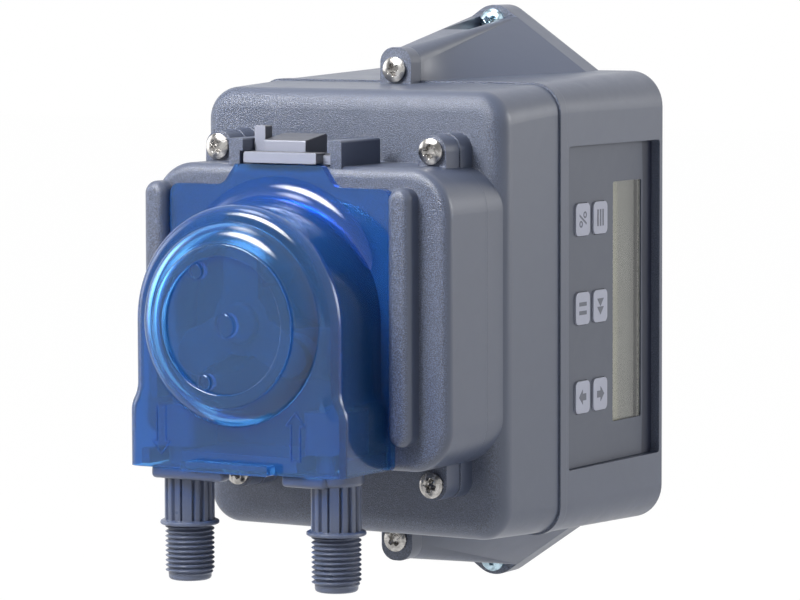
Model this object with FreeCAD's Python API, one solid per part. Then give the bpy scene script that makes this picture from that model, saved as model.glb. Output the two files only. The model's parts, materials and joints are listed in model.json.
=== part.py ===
import FreeCAD, Part
import math
import os

V = FreeCAD.Vector
os.makedirs("parts", exist_ok=True)

# Wall-hung peristaltic metering pump, in millimetres.
# Origin: centre of the casing on the wall plane. +X right, +Y into the wall, +Z up.

# Rear casing, from the wall to the seam
REAR_DEPTH = 58.0
WALL_HALF_W = 49.9
WALL_HALF_H = 63.5
WALL_CORNER_R = 10.0
SEAM_HALF_W = 48.4
SEAM_HALF_H = 61.5
SEAM_CORNER_R = 8.0
CASING_T = 2.5
BACK_T = 2.5
RIM_BAND_W = 3.7
RIM_BAND_PROUD = 0.35
RIM_FLANGE_T = 1.8
RIM_FLANGE_W = 4.0

# Seam gasket, in a groove of the rear rim
GASKET_INSET = 1.2
GASKET_W = 1.6
GASKET_T = 1.0

# Mounting ears above and below the casing
WALL_HOLE_SPACING = 154.0
WALL_HOLE_R = 2.3
EAR_PLATE_T = 8.0
EAR_TIP_R = 8.0
EAR_TIP_Z = 74.0
EAR_FOOT_HALF = 34.5
EAR_FOOT_SINK = 3.5
EAR_POCKET_R = 4.6
EAR_POCKET_L = 22.0
EAR_CREST_Z = 78.7
EAR_CREST_HALF = 7.4
EAR_EDGE_R = 0.5

# Casing screws, one above and one below, in D-shaped lugs
LUG_HALF_W = 4.9
LUG_ABOVE_SEAM = 4.7
LUG_DEPTH = 5.3
LUG_CORNER_R = 4.3
CASING_SCREW_ABOVE_SEAM = 3.5
SCREW_HEAD_R = 3.5
SCREW_HEAD_T = 1.9
SCREW_SHANK_R = 1.75
SCREW_HOLE_GAP = 0.15
CASING_SCREW_L = 15.0
HEAD_SCREW_L = 14.0
RECESS_L = 3.8
RECESS_W = 0.8
RECESS_T = 1.2

# Front casing and the plinth under the pump head
FRONT_DEPTH = 29.8
FRONT_SEAM_STEP = 0.2
FRONT_HALF_W = 47.0
FRONT_HALF_H = 60.1
FRONT_CORNER_R = 9.0
FRONT_EDGE_R = 5.5
PLINTH_T = 6.2
PLINTH_WALL = 3.0

# Pump head housing
HEAD_HALF_W = 46.2
HEAD_Z_LOW = -39.0
HEAD_Z_HIGH = 40.9
HEAD_CORNER_R = 12.0
HEAD_DEPTH = 20.8
HEAD_EDGE_R = 2.8
HEAD_T = 2.5
HEAD_LUG_R = 4.25
HEAD_LUG_T = 7.0
PLINTH_LUG_EXTRA = 0.35
HEAD_SCREW_RIGHT = 33.5
HEAD_SCREW_LEFT_TOP = -33.4
HEAD_SCREW_LEFT_LOW = -27.5
HEAD_SCREW_OUT = 3.9
HEAD_SCREW_OUT_LOW = 4.8
SCREW_BOSS_R = 3.6

# Pump mechanism centre, seen from the front
PUMP_X = -4.2
PUMP_Z = 0.4

# Grip ribs on the head face
RIB_OFFSET = 38.15
RIB_W = 6.9
RIB_T = 5.5
RIB_Z_LOW = -32.0
RIB_Z_HIGH = 36.0

# Latch rails on top of the head
RAIL_INNER = 14.2
RAIL_T = 3.4
RAIL_H = 6.9
RAIL_LIP = 1.0
RAIL_LIP_H = 3.4
RAIL_FRONT_SET = 0.8

# Latch slide between the rails
LATCH_GAP = 0.3
LATCH_SIDE_GAP = 0.5
LATCH_PLATE_T = 2.5
LATCH_L = 18.5
LATCH_BAR_HALF = 11.3
LATCH_BAR_T = 3.2
LATCH_BAR_OUT = 1.7
LATCH_BAR_D = 4.6
LATCH_BLOCK_W = 13.0
LATCH_BLOCK_H = 3.6
LATCH_BLOCK_RISE = 1.6
LATCH_BLOCK_D = 11.0
LATCH_POST_W = 3.4
LATCH_POST_D = 3.4
LATCH_POST_H = 9.8

# Raceway, rollers and rotor
TUBE_OD = 8.0
TUBE_ID = 4.8
TUBE_FLAT_T = 3.2
TUBE_FLAT_W = 10.0
TUBE_FLAT_SLOT = 0.7
TUBE_PLANE = 11.2
ROLLER_R = 6.9
ROLLER_ORBIT_R = 16.6
ROLLER_L = 14.2
ROLLER_COUNT = 3
ROLLER_PIN_R = 2.0
ROLLER_GAP = 0.3
RUN_GAP = 0.03
RACE_GAP = 0.2
RACE_T = 1.8
RACE_FRONT_GAP = 4.6
RACE_LEG = 21.0
ROTOR_PLATE_T = 2.0
ROTOR_LOBE_R = 5.4
ROTOR_CORE_R = 8.6
ROTOR_CAP_R = 5.6
ROTOR_CAP_T = 2.0
SHAFT_R = 4.0

# Tube legs and hose connectors
LEG_OFFSET = 23.0
FLAT_END = 3.0
LEG_ROUND_FROM = 22.0
TUBE_END_Z = -33.9
BLOCK_HALF = 6.2
BLOCK_Z_HIGH = -22.5
BLOCK_Z_LOW = -33.7
SHELF_Z_HIGH = -34.0
SHELF_Z_LOW = -38.0
SHELF_HALF_W = 30.6
SHELF_FRONT_GAP = 2.2
NECK_R = 5.0
SLOT_GAP = 0.15
DISC_R = 7.4
DISC_T = 3.2
TAB_T = 4.6
TAB_H = 3.6
TAB_ENDS = {-1: (6.9, 15.9), 1: (1.6, 12.0)}
TAB_OUT = 8.6
DISC_GAP = 0.3
BARREL_R = 6.75
BARREL_LOW_Z = -53.9
FLUTE_COUNT = 12
FLUTE_R = 1.0
COLLAR_R = 7.9
COLLAR_T = 1.2
THREAD_R = 6.58
THREAD_L = 14.9
THREAD_CHAMFER = 1.2
BORE_R = 3.0
BARB_R = 2.35
BARB_BORE_R = 1.5
BARB_TOP_Z = -24.0

# Translucent cover
COVER_SEAT_GAP = 0.2
COVER_T = 2.0
FLANGE_T = 2.4
FLANGE_HALF_W = 34.4
FLANGE_Z_HIGH = 35.5
FLANGE_CORNER_R = 3.0
COVER_Z_LOW = -38.4
TONGUE_HALF_W = 13.5
TONGUE_TOP = 41.1
TONGUE_SPREAD = 6.5
DOME_R = 31.6
DOME_FRONT_R = 31.2
DOME_DEPTH = 25.8
DOME_EDGE_R = 4.0
FLARE_HALF_W = 33.7
FLARE_Z_HIGH = -16.0
FLARE_Z_LOW = -24.0
CUSHION_FOOT_R = 27.0
CUSHION_TOP_R = 22.2
CUSHION_H = 4.0
CUSHION_BOW = 0.9
BEAD_R_OUT = 21.5
BEAD_R_IN = 18.1
BEAD_T = 1.0
BEAD_EDGE_R = 0.45
NOSE_SINK = 0.5
BOSS_R = 3.3
PIP_R = 2.2
PIP_OUT = 0.6
POST_IN = 1.5
PIP_ORBIT_R = 16.4
PIP_TURNS = (122, 248)
LIP_HALF_W = 13.4
LIP_H = 2.6
LIP_T = 4.0

# Display panel on the right side of the rear casing
PANEL_SINK = 1.6
PANEL_FLOOR_T = 2.0
PANEL_FRONT_MARGIN = 5.0
PANEL_BACK_MARGIN = 1.6
PANEL_HALF_H = 44.3
PANEL_PAD = 2.0
FILM_T = 0.5
FILM_GAP = 0.2
LCD_EDGE = 5.8
LCD_W = 18.2
LCD_L = 68.1
LCD_R = 1.2
LCD_FRAME = 2.6
WINDOW_T = 1.8
WINDOW_GAP = 0.1
KEY_W = 8.1
KEY_L = 8.9
KEY_R = 1.6
KEY_T = 0.6
KEY_LIFT = 0.4
KEY_FIRST = 9.6
KEY_PITCH_Y = 10.2
KEY_PITCH_Z = 24.45
KEY_MID_Z = -0.45
KEY_STEM_R = 2.0
KEY_STEM_GAP = 0.04
KEY_STEM_REACH = 3.3
BOARD_T = 1.6
BOARD_TO_PANEL = 5.2
BOARD_HALF_H = 43.0
BOARD_Y_LOW = -51.0
BOARD_Y_HIGH = -4.2
SWITCH_W = 6.0
SWITCH_T = 3.4
SWITCH_TIP_R = 1.7
PEG_R = 1.3
PEG_GAP = 0.15
POST_R = 2.5
PEG_INSET = 3.0

# Power supply on the rear wall
POWER_X_LOW = -36.0
POWER_X_HIGH = 32.0
POWER_Z_LOW = -54.0
POWER_Z_HIGH = -8.0
POWER_STANDOFF = 5.5
TRANSFORMER_W = 32.0
TRANSFORMER_H = 27.0
TRANSFORMER_D = 24.0
TRANSFORMER_FROM_EDGE = 6.0
TRANSFORMER_RISE = 9.0
COIL_INSET = 5.0
COIL_BACK = 3.0
COIL_FRONT = 4.0
CAPACITOR_FROM_TOP = 7.0
CAPACITOR_FROM_EDGE = 12.0
CAPACITOR_GAP = 2.0
TERMINAL_FROM_EDGE = 1.5
TERMINAL_RISE = 8.0
CAPACITOR_R = 5.0
CAPACITOR_L = 16.0
TERMINAL_W = 25.0
TERMINAL_H = 9.0
TERMINAL_D = 11.0
TERMINAL_WAYS = 5
GROMMET_FROM_SIDE = 18.9
GROMMET_X = GROMMET_FROM_SIDE - WALL_HALF_W
GROMMET_Y = -22.0
GROMMET_R = 6.0
GROMMET_LIP = 1.6
GROMMET_LIP_T = 1.0
GROMMET_GAP = 0.04
GROMMET_RIM = 1.5
GROMMET_DISH_T = 1.2

# Gear train between two plates behind the plinth
MODULE = 0.8
PRESSURE_ANGLE = 25.0
ADDENDUM = 0.8
DEDENDUM = 1.05
BACKLASH = 0.12
OUTPUT_TEETH = 48
IDLER_PINION_TEETH = 12
IDLER_WHEEL_TEETH = 40
MOTOR_TEETH = 12
MOTOR_BEARING_DEG = 210.0
PLATE_T = 1.5
PLATE_SPAN = 16.5
PLATE_FRONT_Y = -84.0
PLATE_MARGIN = 4.2
PLATE_CORNER_R = 4.0
OUTPUT_GEAR_T = 6.0
WHEEL_T = 5.0
GEAR_SIDE_GAP = 1.0
IDLER_PIN_R = 1.5
HUB_R = 6.5
MOTOR_R = 18.0
MOTOR_L = 38.0
MOTOR_CAP_T = 4.0
MOTOR_SHAFT_R = 1.5
MOTOR_NOSE_R = 4.5
MOTOR_EDGE_R = 1.5
MOTOR_CAP_STEP = 1.5
MOTOR_TAG_W = 2.8
MOTOR_TAG_T = 0.8
MOTOR_TAG_L = 3.5
FRONT_BUSH_L = 12.0
SEAL_LIP_R = 2.0
SEAL_LIP_SET = 1.0
SEAL_LIP_T = 1.4
SPACER_R = 3.2
GEARBOX_SCREW_R = 1.5
GEARBOX_SCREW_IN = 5.0
GEARBOX_HOLE_END = 1.0
BUSH_WALL = 2.0
BUSH_FLANGE_R = 1.5
BUSH_FLANGE_T = 1.2
SEAL_R = 9.0
SEAL_T = 4.5

# Places along Y worked out from the depths
SEAM_Y = -REAR_DEPTH
FRONT_Y = SEAM_Y - FRONT_DEPTH
PARTING_Y = FRONT_Y - PLINTH_T
HEAD_Y = PARTING_Y - HEAD_DEPTH
TUBE_Y = HEAD_Y - TUBE_PLANE
COVER_BACK_Y = HEAD_Y - COVER_SEAT_GAP
COVER_FRONT_Y = COVER_BACK_Y - DOME_DEPTH
COVER_INNER_Y = COVER_FRONT_Y + COVER_T
COVER_NOSE_Y = COVER_FRONT_Y - CUSHION_H
LUG_FRONT_Y = SEAM_Y - LUG_DEPTH
HEAD_LUG_Y = PARTING_Y - HEAD_LUG_T

# Places across and up
EAR_HOLE_Z = WALL_HOLE_SPACING / 2
LUG_Z = SEAM_HALF_H + LUG_ABOVE_SEAM
CASING_SCREW_Z = SEAM_HALF_H + CASING_SCREW_ABOVE_SEAM
LUG_FOOT_Z = SEAM_HALF_H - EAR_FOOT_SINK
ROLLER_SWEEP_R = ROLLER_ORBIT_R + ROLLER_R
TUBE_MID_R = ROLLER_SWEEP_R + ROLLER_GAP + TUBE_FLAT_T / 2
RACE_R = TUBE_MID_R + TUBE_FLAT_T / 2 + RACE_GAP
HEAD_SCREWS = [
    (HEAD_SCREW_RIGHT, HEAD_Z_HIGH + HEAD_SCREW_OUT, 1),
    (HEAD_SCREW_LEFT_TOP, HEAD_Z_HIGH + HEAD_SCREW_OUT, 1),
    (HEAD_SCREW_RIGHT, HEAD_Z_LOW - HEAD_SCREW_OUT_LOW, -1),
    (HEAD_SCREW_LEFT_LOW, HEAD_Z_LOW - HEAD_SCREW_OUT_LOW, -1),
]


def point(axis, a, b, level):
    """Point of a drawing plane: a and b are the two remaining axes in X, Y, Z order."""
    if axis == "X":
        return V(level, a, b)
    if axis == "Y":
        return V(a, level, b)
    return V(a, b, level)


def outline(corners, level, axis="Y"):
    """Closed wire through (a, b, radius) corners, each rounded by its own radius."""
    starts = []
    middles = []
    ends = []
    count = len(corners)
    for index, (a, b, radius) in enumerate(corners):
        here = point(axis, a, b, level)
        before = point(axis, corners[index - 1][0], corners[index - 1][1], level)
        following = corners[(index + 1) % count]
        after = point(axis, following[0], following[1], level)
        back = (before - here).normalize()
        ahead = (after - here).normalize()
        half = back.getAngle(ahead) / 2
        reach = radius / math.tan(half)
        middle_way = (back + ahead).normalize()
        starts.append(here + back * reach)
        ends.append(here + ahead * reach)
        middles.append(here + middle_way * (radius / math.sin(half) - radius))
    edges = []
    for index in range(count):
        if corners[index][2] > 0:
            edges.append(Part.Arc(starts[index], middles[index], ends[index]).toShape())
        nxt = (index + 1) % count
        if ends[index].distanceToPoint(starts[nxt]) > 1e-6:
            edges.append(Part.makeLine(ends[index], starts[nxt]))
    return Part.Wire(edges)


def rect(a_low, a_high, b_low, b_high, radius=0.0):
    """Corners of a rectangle with equal corner radii."""
    return [
        (a_low, b_low, radius),
        (a_high, b_low, radius),
        (a_high, b_high, radius),
        (a_low, b_high, radius),
    ]


def along(axis, length):
    """Vector of the given length along an axis."""
    return point(axis, 0, 0, length)


def slab(corners, low, high, axis="Y"):
    """Straight block with the outline of the corners, between two levels of an axis."""
    return Part.Face(outline(corners, low, axis)).extrude(along(axis, high - low))


def rod(radius, low, high, a, b, axis="Y"):
    """Cylinder between two levels of an axis, at the two other coordinates."""
    return Part.makeCylinder(radius, high - low, point(axis, a, b, low), along(axis, 1))


def ring(outer, inner, low, high, a, b, axis="Y"):
    """Hollow cylinder between two levels of an axis."""
    return rod(outer, low, high, a, b, axis).cut(rod(inner, low - 1, high + 1, a, b, axis))


def box(x_low, x_high, y_low, y_high, z_low, z_high):
    """Block between two corners."""
    return Part.makeBox(x_high - x_low, y_high - y_low, z_high - z_low, V(x_low, y_low, z_low))


def edges_at(shape, level, axis="Y"):
    """Edges that lie in the plane at one level of an axis."""
    pick = {"X": 0, "Y": 1, "Z": 2}[axis]
    found = []
    for edge in shape.Edges:
        if all(abs(p[pick] - level) < 1e-3 for p in edge.discretize(3)):
            found.append(edge)
    return found


def save(node, shape):
    """Write one sub-part to its own file."""
    shape.exportStep("parts/" + node + ".step")


def casing_corners(y, inset=0.0):
    """Rear casing outline at a depth, drawn in by an inset."""
    share = -y / REAR_DEPTH
    half_w = WALL_HALF_W + (SEAM_HALF_W - WALL_HALF_W) * share - inset
    half_h = WALL_HALF_H + (SEAM_HALF_H - WALL_HALF_H) * share - inset
    corner = WALL_CORNER_R + (SEAM_CORNER_R - WALL_CORNER_R) * share - inset
    return rect(-half_w, half_w, -half_h, half_h, corner)


def front_corners(y, inset=0.0):
    """Front casing outline at a depth, drawn in by an inset."""
    share = (SEAM_Y - y) / FRONT_DEPTH
    wide = SEAM_HALF_W - FRONT_SEAM_STEP
    high = SEAM_HALF_H - FRONT_SEAM_STEP
    half_w = wide + (FRONT_HALF_W - wide) * share - inset
    half_h = high + (FRONT_HALF_H - high) * share - inset
    corner = SEAM_CORNER_R + (FRONT_CORNER_R - SEAM_CORNER_R) * share - inset
    return rect(-half_w, half_w, -half_h, half_h, corner)


def tapered(corners_at, y_from, y_to, inset=0.0):
    """Solid whose outline runs evenly from one depth to another."""
    wires = [outline(corners_at(y, inset), y) for y in (y_from, y_to)]
    return Part.makeLoft(wires, True, True)


def tangent_touch(foot_half, foot_z, tip_r, tip_z):
    """Point where the line from a foot corner touches the round tip."""
    foot = V(foot_half, 0, foot_z - tip_z)
    turn = math.atan2(foot.z, foot.x) + math.acos(tip_r / foot.Length)
    return tip_r * math.cos(turn), tip_z + tip_r * math.sin(turn)


def ear_plate_wire(y, side):
    """Ear outline on the wall: straight foot, two flanks and a round tip tangent to both."""
    foot_z = WALL_HALF_H - EAR_FOOT_SINK
    touch_x, touch_z = tangent_touch(EAR_FOOT_HALF, foot_z, EAR_TIP_R, EAR_TIP_Z)
    left_foot = V(-EAR_FOOT_HALF, y, side * foot_z)
    right_foot = V(EAR_FOOT_HALF, y, side * foot_z)
    right = V(touch_x, y, side * touch_z)
    left = V(-touch_x, y, side * touch_z)
    top = V(0, y, side * (EAR_TIP_Z + EAR_TIP_R))
    edges = [
        Part.makeLine(left_foot, right_foot),
        Part.makeLine(right_foot, right),
        Part.Arc(right, top, left).toShape(),
        Part.makeLine(left, left_foot),
    ]
    return Part.Wire(edges)


def casing_lug_wire(y, side):
    """Outline of the D-shaped lug round a casing screw."""
    top = side * (LUG_Z + LUG_HALF_W)
    foot = side * LUG_FOOT_Z
    corners = [
        (-LUG_HALF_W, foot, 0),
        (LUG_HALF_W, foot, 0),
        (LUG_HALF_W, top, LUG_CORNER_R),
        (-LUG_HALF_W, top, LUG_CORNER_R),
    ]
    return outline(corners, y)


def ear(side):
    """Mounting ear: a plate on the wall and a wedge that runs forward to the screw lug."""
    foot_z = WALL_HALF_H - EAR_FOOT_SINK
    plate = Part.Face(ear_plate_wire(0, side)).extrude(V(0, -EAR_PLATE_T, 0))
    back = [
        (-EAR_FOOT_HALF, side * foot_z, 0),
        (EAR_FOOT_HALF, side * foot_z, 0),
        (EAR_CREST_HALF, side * EAR_CREST_Z, EAR_EDGE_R),
        (-EAR_CREST_HALF, side * EAR_CREST_Z, EAR_EDGE_R),
    ]
    wedge = Part.makeLoft([outline(back, -EAR_PLATE_T), casing_lug_wire(SEAM_Y, side)], True, True)
    return plate.fuse(wedge)


def panel_y():
    """Front and back edges of the display recess along Y."""
    return SEAM_Y + PANEL_FRONT_MARGIN, -PANEL_BACK_MARGIN


SIDE_REACH = max(WALL_HALF_W, SEAM_HALF_W)
PANEL_X = min(WALL_HALF_W, SEAM_HALF_W) - PANEL_SINK
PANEL_INNER_X = PANEL_X - PANEL_FLOOR_T
LCD_Y_HIGH = -PANEL_BACK_MARGIN - LCD_EDGE
LCD_Y_LOW = LCD_Y_HIGH - LCD_W
BOARD_X = PANEL_INNER_X - BOARD_TO_PANEL
BOARD_PEGS = [
    (y, z)
    for y in (BOARD_Y_LOW + PEG_INSET, BOARD_Y_HIGH - PEG_INSET)
    for z in (-BOARD_HALF_H + PEG_INSET, BOARD_HALF_H - PEG_INSET)
]
POWER_Y = -BACK_T - POWER_STANDOFF
POWER_PEGS = [
    (x, z)
    for x in (POWER_X_LOW + PEG_INSET, POWER_X_HIGH - PEG_INSET)
    for z in (POWER_Z_LOW + PEG_INSET, POWER_Z_HIGH - PEG_INSET)
]
KEY_SPOTS = [
    (SEAM_Y + PANEL_FRONT_MARGIN + KEY_FIRST + column * KEY_PITCH_Y, (1 - row) * KEY_PITCH_Z + KEY_MID_Z)
    for row in range(3)
    for column in range(2)
]


def key_corners(y, z, grow=0.0):
    """Outline of one key or of its window in the film."""
    half_w = KEY_W / 2 + grow
    half_l = KEY_L / 2 + grow
    return rect(y - half_w, y + half_w, z - half_l, z + half_l, KEY_R + grow)


def lcd_corners(grow=0.0):
    """Outline of the display window."""
    return rect(LCD_Y_LOW - grow, LCD_Y_HIGH + grow, -LCD_L / 2 - grow, LCD_L / 2 + grow, LCD_R + grow)


def build_rear_casing():
    """Rear shell with its ears, seam rim, gasket groove and display recess."""
    outer = tapered(casing_corners, 0, SEAM_Y)
    band = slab(casing_corners(SEAM_Y, -RIM_BAND_PROUD), SEAM_Y, SEAM_Y + RIM_BAND_W)
    body = outer.fuse([band, ear(1), ear(-1)])
    open_y = SEAM_Y - 1
    flange_back = SEAM_Y + RIM_FLANGE_W
    cavity = tapered(casing_corners, -BACK_T, open_y, CASING_T)
    flange_hole = slab(casing_corners(SEAM_Y, CASING_T + RIM_FLANGE_T), open_y - 1, flange_back)
    flange = slab(casing_corners(SEAM_Y), open_y - 1, flange_back).cut(flange_hole)
    front, back = panel_y()
    pad_half = PANEL_HALF_H + PANEL_PAD
    pad = box(PANEL_INNER_X, SIDE_REACH, flange_back - 0.5, 0, -pad_half, pad_half)
    shell = body.cut(cavity.cut(flange).cut(pad))
    groove = slab(casing_corners(SEAM_Y, GASKET_INSET), open_y, SEAM_Y + GASKET_T)
    groove = groove.cut(slab(casing_corners(SEAM_Y, GASKET_INSET + GASKET_W), open_y, SEAM_Y + GASKET_T))
    cuts = [groove]
    recess = rect(front, back, -PANEL_HALF_H, PANEL_HALF_H, 1.0)
    cuts.append(slab(recess, PANEL_X, SIDE_REACH + 1, "X"))
    cuts.append(slab(lcd_corners(), PANEL_INNER_X - 1, PANEL_X + 1, "X"))
    for y, z in KEY_SPOTS:
        cuts.append(rod(KEY_STEM_R + KEY_STEM_GAP, PANEL_INNER_X - 1, PANEL_X + 1, y, z, "X"))
    for side in (1, -1):
        pocket_front = -EAR_PLATE_T - EAR_POCKET_L
        cuts.append(rod(EAR_POCKET_R, pocket_front, -EAR_PLATE_T, 0, side * EAR_HOLE_Z))
        low, high = sorted((side * EAR_HOLE_Z, side * (EAR_HOLE_Z + EAR_TIP_R)))
        cuts.append(box(-EAR_POCKET_R, EAR_POCKET_R, pocket_front, -EAR_PLATE_T, low, high))
        cuts.append(rod(WALL_HOLE_R, -EAR_PLATE_T - 1, 1, 0, side * EAR_HOLE_Z))
        depth = CASING_SCREW_L - LUG_DEPTH + 1
        hole_r = SCREW_SHANK_R + SCREW_HOLE_GAP
        cuts.append(rod(hole_r, SEAM_Y - 1, SEAM_Y + depth, 0, side * CASING_SCREW_Z))
    hole_low = -max(WALL_HALF_H, SEAM_HALF_H) - 1
    hole_high = -min(WALL_HALF_H, SEAM_HALF_H) + CASING_T + 2
    cuts.append(rod(GROMMET_R, hole_low, hole_high, GROMMET_X, GROMMET_Y, "Z"))
    shell = shell.cut(cuts)
    posts = []
    for y, z in BOARD_PEGS:
        posts.append(rod(POST_R, BOARD_X, PANEL_INNER_X, y, z, "X"))
        posts.append(rod(PEG_R, BOARD_X - BOARD_T - 1, PANEL_INNER_X, y, z, "X"))
    for x, z in POWER_PEGS:
        posts.append(rod(POST_R, POWER_Y, -BACK_T, x, z))
        posts.append(rod(PEG_R, POWER_Y - BOARD_T - 1, -BACK_T, x, z))
    save("rear_casing", shell.fuse(posts))


def build_gasket():
    """Rubber ring in the groove of the rear rim."""
    outer = slab(casing_corners(SEAM_Y, GASKET_INSET), SEAM_Y, SEAM_Y + GASKET_T)
    inner = slab(casing_corners(SEAM_Y, GASKET_INSET + GASKET_W), SEAM_Y, SEAM_Y + GASKET_T)
    save("casing_gasket", outer.cut(inner))


def build_grommet():
    """Blind rubber grommet in the cable hole of the rear casing's floor."""
    share = -GROMMET_Y / REAR_DEPTH
    floor_z = -(WALL_HALF_H + (SEAM_HALF_H - WALL_HALF_H) * share)
    plug = rod(GROMMET_R, floor_z, floor_z + CASING_T, GROMMET_X, GROMMET_Y, "Z")
    lip_r = GROMMET_R + GROMMET_LIP
    slope_gap = lip_r * abs(WALL_HALF_H - SEAM_HALF_H) / REAR_DEPTH + GROMMET_GAP
    top = floor_z + CASING_T + slope_gap
    plug = plug.fuse(rod(GROMMET_R, floor_z + CASING_T, top + GROMMET_LIP_T, GROMMET_X, GROMMET_Y, "Z"))
    plug = plug.fuse(rod(lip_r, top, top + GROMMET_LIP_T, GROMMET_X, GROMMET_Y, "Z"))
    dish = rod(GROMMET_R - GROMMET_RIM, floor_z, floor_z + GROMMET_DISH_T, GROMMET_X, GROMMET_Y, "Z")
    save("cable_grommet", plug.cut(dish))


def head_corners(inset=0.0):
    """Pump head outline, shared by the plinth and the head housing."""
    return rect(
        -HEAD_HALF_W + inset,
        HEAD_HALF_W - inset,
        HEAD_Z_LOW + inset,
        HEAD_Z_HIGH - inset,
        HEAD_CORNER_R - inset,
    )


def head_lugs(radius, y_low, y_high):
    """Lugs round the four head screws, each with a straight foot in the housing."""
    lugs = []
    for x, z, side in HEAD_SCREWS:
        foot = z - side * (HEAD_SCREW_OUT_LOW + 3.0)
        lugs.append(rod(radius, y_low, y_high, x, z))
        lugs.append(box(x - radius, x + radius, y_low, y_high, min(foot, z), max(foot, z)))
    return lugs


MOTOR_RATIO_R = MODULE * (MOTOR_TEETH + IDLER_WHEEL_TEETH) / 2
IDLER_RATIO_R = MODULE * (IDLER_PINION_TEETH + OUTPUT_TEETH) / 2
IDLER_X = PUMP_X
IDLER_Z = PUMP_Z + IDLER_RATIO_R
MOTOR_X = IDLER_X + MOTOR_RATIO_R * math.cos(math.radians(MOTOR_BEARING_DEG))
MOTOR_Z = IDLER_Z + MOTOR_RATIO_R * math.sin(math.radians(MOTOR_BEARING_DEG))
PLATE_REAR_Y = PLATE_FRONT_Y + PLATE_T + PLATE_SPAN
GEARBOX_BACK_Y = PLATE_REAR_Y + PLATE_T
OUTPUT_R = MODULE * (OUTPUT_TEETH / 2 + ADDENDUM)
WHEEL_R = MODULE * (IDLER_WHEEL_TEETH / 2 + ADDENDUM)
PLATE_X_LOW = MOTOR_X - MOTOR_R + 3.0
PLATE_X_HIGH = PUMP_X + OUTPUT_R + PLATE_MARGIN
PLATE_Z_LOW = PUMP_Z - OUTPUT_R - PLATE_MARGIN
PLATE_Z_HIGH = IDLER_Z + WHEEL_R + PLATE_MARGIN
GEARBOX_SPOTS = [
    (x, z)
    for x in (PLATE_X_LOW + PLATE_CORNER_R, PLATE_X_HIGH - PLATE_CORNER_R)
    for z in (PLATE_Z_LOW + PLATE_CORNER_R, PLATE_Z_HIGH - PLATE_CORNER_R)
]


def boss_front(z):
    """Y where a gearbox boss begins: in the front wall above the plinth, or in the plinth's wall."""
    if z > PUMP_Z:
        return FRONT_Y + 0.4
    return PARTING_Y + PLINTH_WALL - 1


def build_front_casing():
    """Front shell with the plinth that carries the pump head."""
    outer = tapered(front_corners, SEAM_Y, FRONT_Y)
    outer = outer.makeFillet(FRONT_EDGE_R, edges_at(outer, FRONT_Y))
    plinth = slab(head_corners(), PARTING_Y, FRONT_Y + FRONT_EDGE_R)
    lugs = head_lugs(HEAD_LUG_R + PLINTH_LUG_EXTRA, PARTING_Y, FRONT_Y + 1)
    for side in (1, -1):
        wire = casing_lug_wire(SEAM_Y, side)
        lugs.append(Part.Face(wire).extrude(V(0, -LUG_DEPTH, 0)))
    body = outer.fuse([plinth] + lugs)
    cavity = tapered(front_corners, SEAM_Y + 1, FRONT_Y + CASING_T, CASING_T)
    cavity = cavity.fuse(slab(head_corners(PLINTH_WALL), PARTING_Y + PLINTH_WALL, FRONT_Y + CASING_T + 1))
    shell = body.cut(cavity)
    bosses = []
    boss_back = PARTING_Y + HEAD_SCREW_L - HEAD_LUG_T + 2
    for x, z, side in HEAD_SCREWS:
        bosses.append(rod(SCREW_BOSS_R, FRONT_Y + 0.5, boss_back, x, z))
    for x, z in GEARBOX_SPOTS:
        bosses.append(rod(SPACER_R, boss_front(z), PLATE_FRONT_Y, x, z))
    bosses.append(rod(SEAL_R + 2.5, PARTING_Y + 0.5, PARTING_Y + SEAL_T + 1.5, PUMP_X, PUMP_Z))
    shell = shell.fuse(bosses)
    cuts = []
    hole_r = SCREW_SHANK_R + SCREW_HOLE_GAP
    for side in (1, -1):
        cuts.append(rod(hole_r, LUG_FRONT_Y - 1, SEAM_Y + 1, 0, side * CASING_SCREW_Z))
    for x, z, side in HEAD_SCREWS:
        cuts.append(rod(hole_r, PARTING_Y - 1, boss_back - 1, x, z))
    for x, z in GEARBOX_SPOTS:
        hole = GEARBOX_SCREW_R + SCREW_HOLE_GAP
        cuts.append(rod(hole, boss_front(z) + GEARBOX_HOLE_END, PLATE_FRONT_Y + 1, x, z))
    cuts.append(rod(SEAL_R, PARTING_Y - 1, PARTING_Y + SEAL_T, PUMP_X, PUMP_Z))
    cuts.append(rod(SHAFT_R + 1.0, PARTING_Y, PARTING_Y + SEAL_T + 3, PUMP_X, PUMP_Z))
    save("front_casing", shell.cut(cuts))


def pan_screw(x, z, seat_y, length):
    """Pan head screw along Y with a cross recess, its head in front of the seat."""
    head = rod(SCREW_HEAD_R, seat_y - SCREW_HEAD_T, seat_y, x, z)
    head = head.makeFillet(SCREW_HEAD_T * 0.6, edges_at(head, seat_y - SCREW_HEAD_T))
    screw = head.fuse(rod(SCREW_SHANK_R, seat_y, seat_y + length, x, z))
    half_l = RECESS_L / 2
    half_w = RECESS_W / 2
    front = seat_y - SCREW_HEAD_T - 1
    back = seat_y - SCREW_HEAD_T + RECESS_T
    upright = box(x - half_w, x + half_w, front, back, z - half_l, z + half_l)
    level = box(x - half_l, x + half_l, front, back, z - half_w, z + half_w)
    return screw.cut([upright, level])


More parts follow.
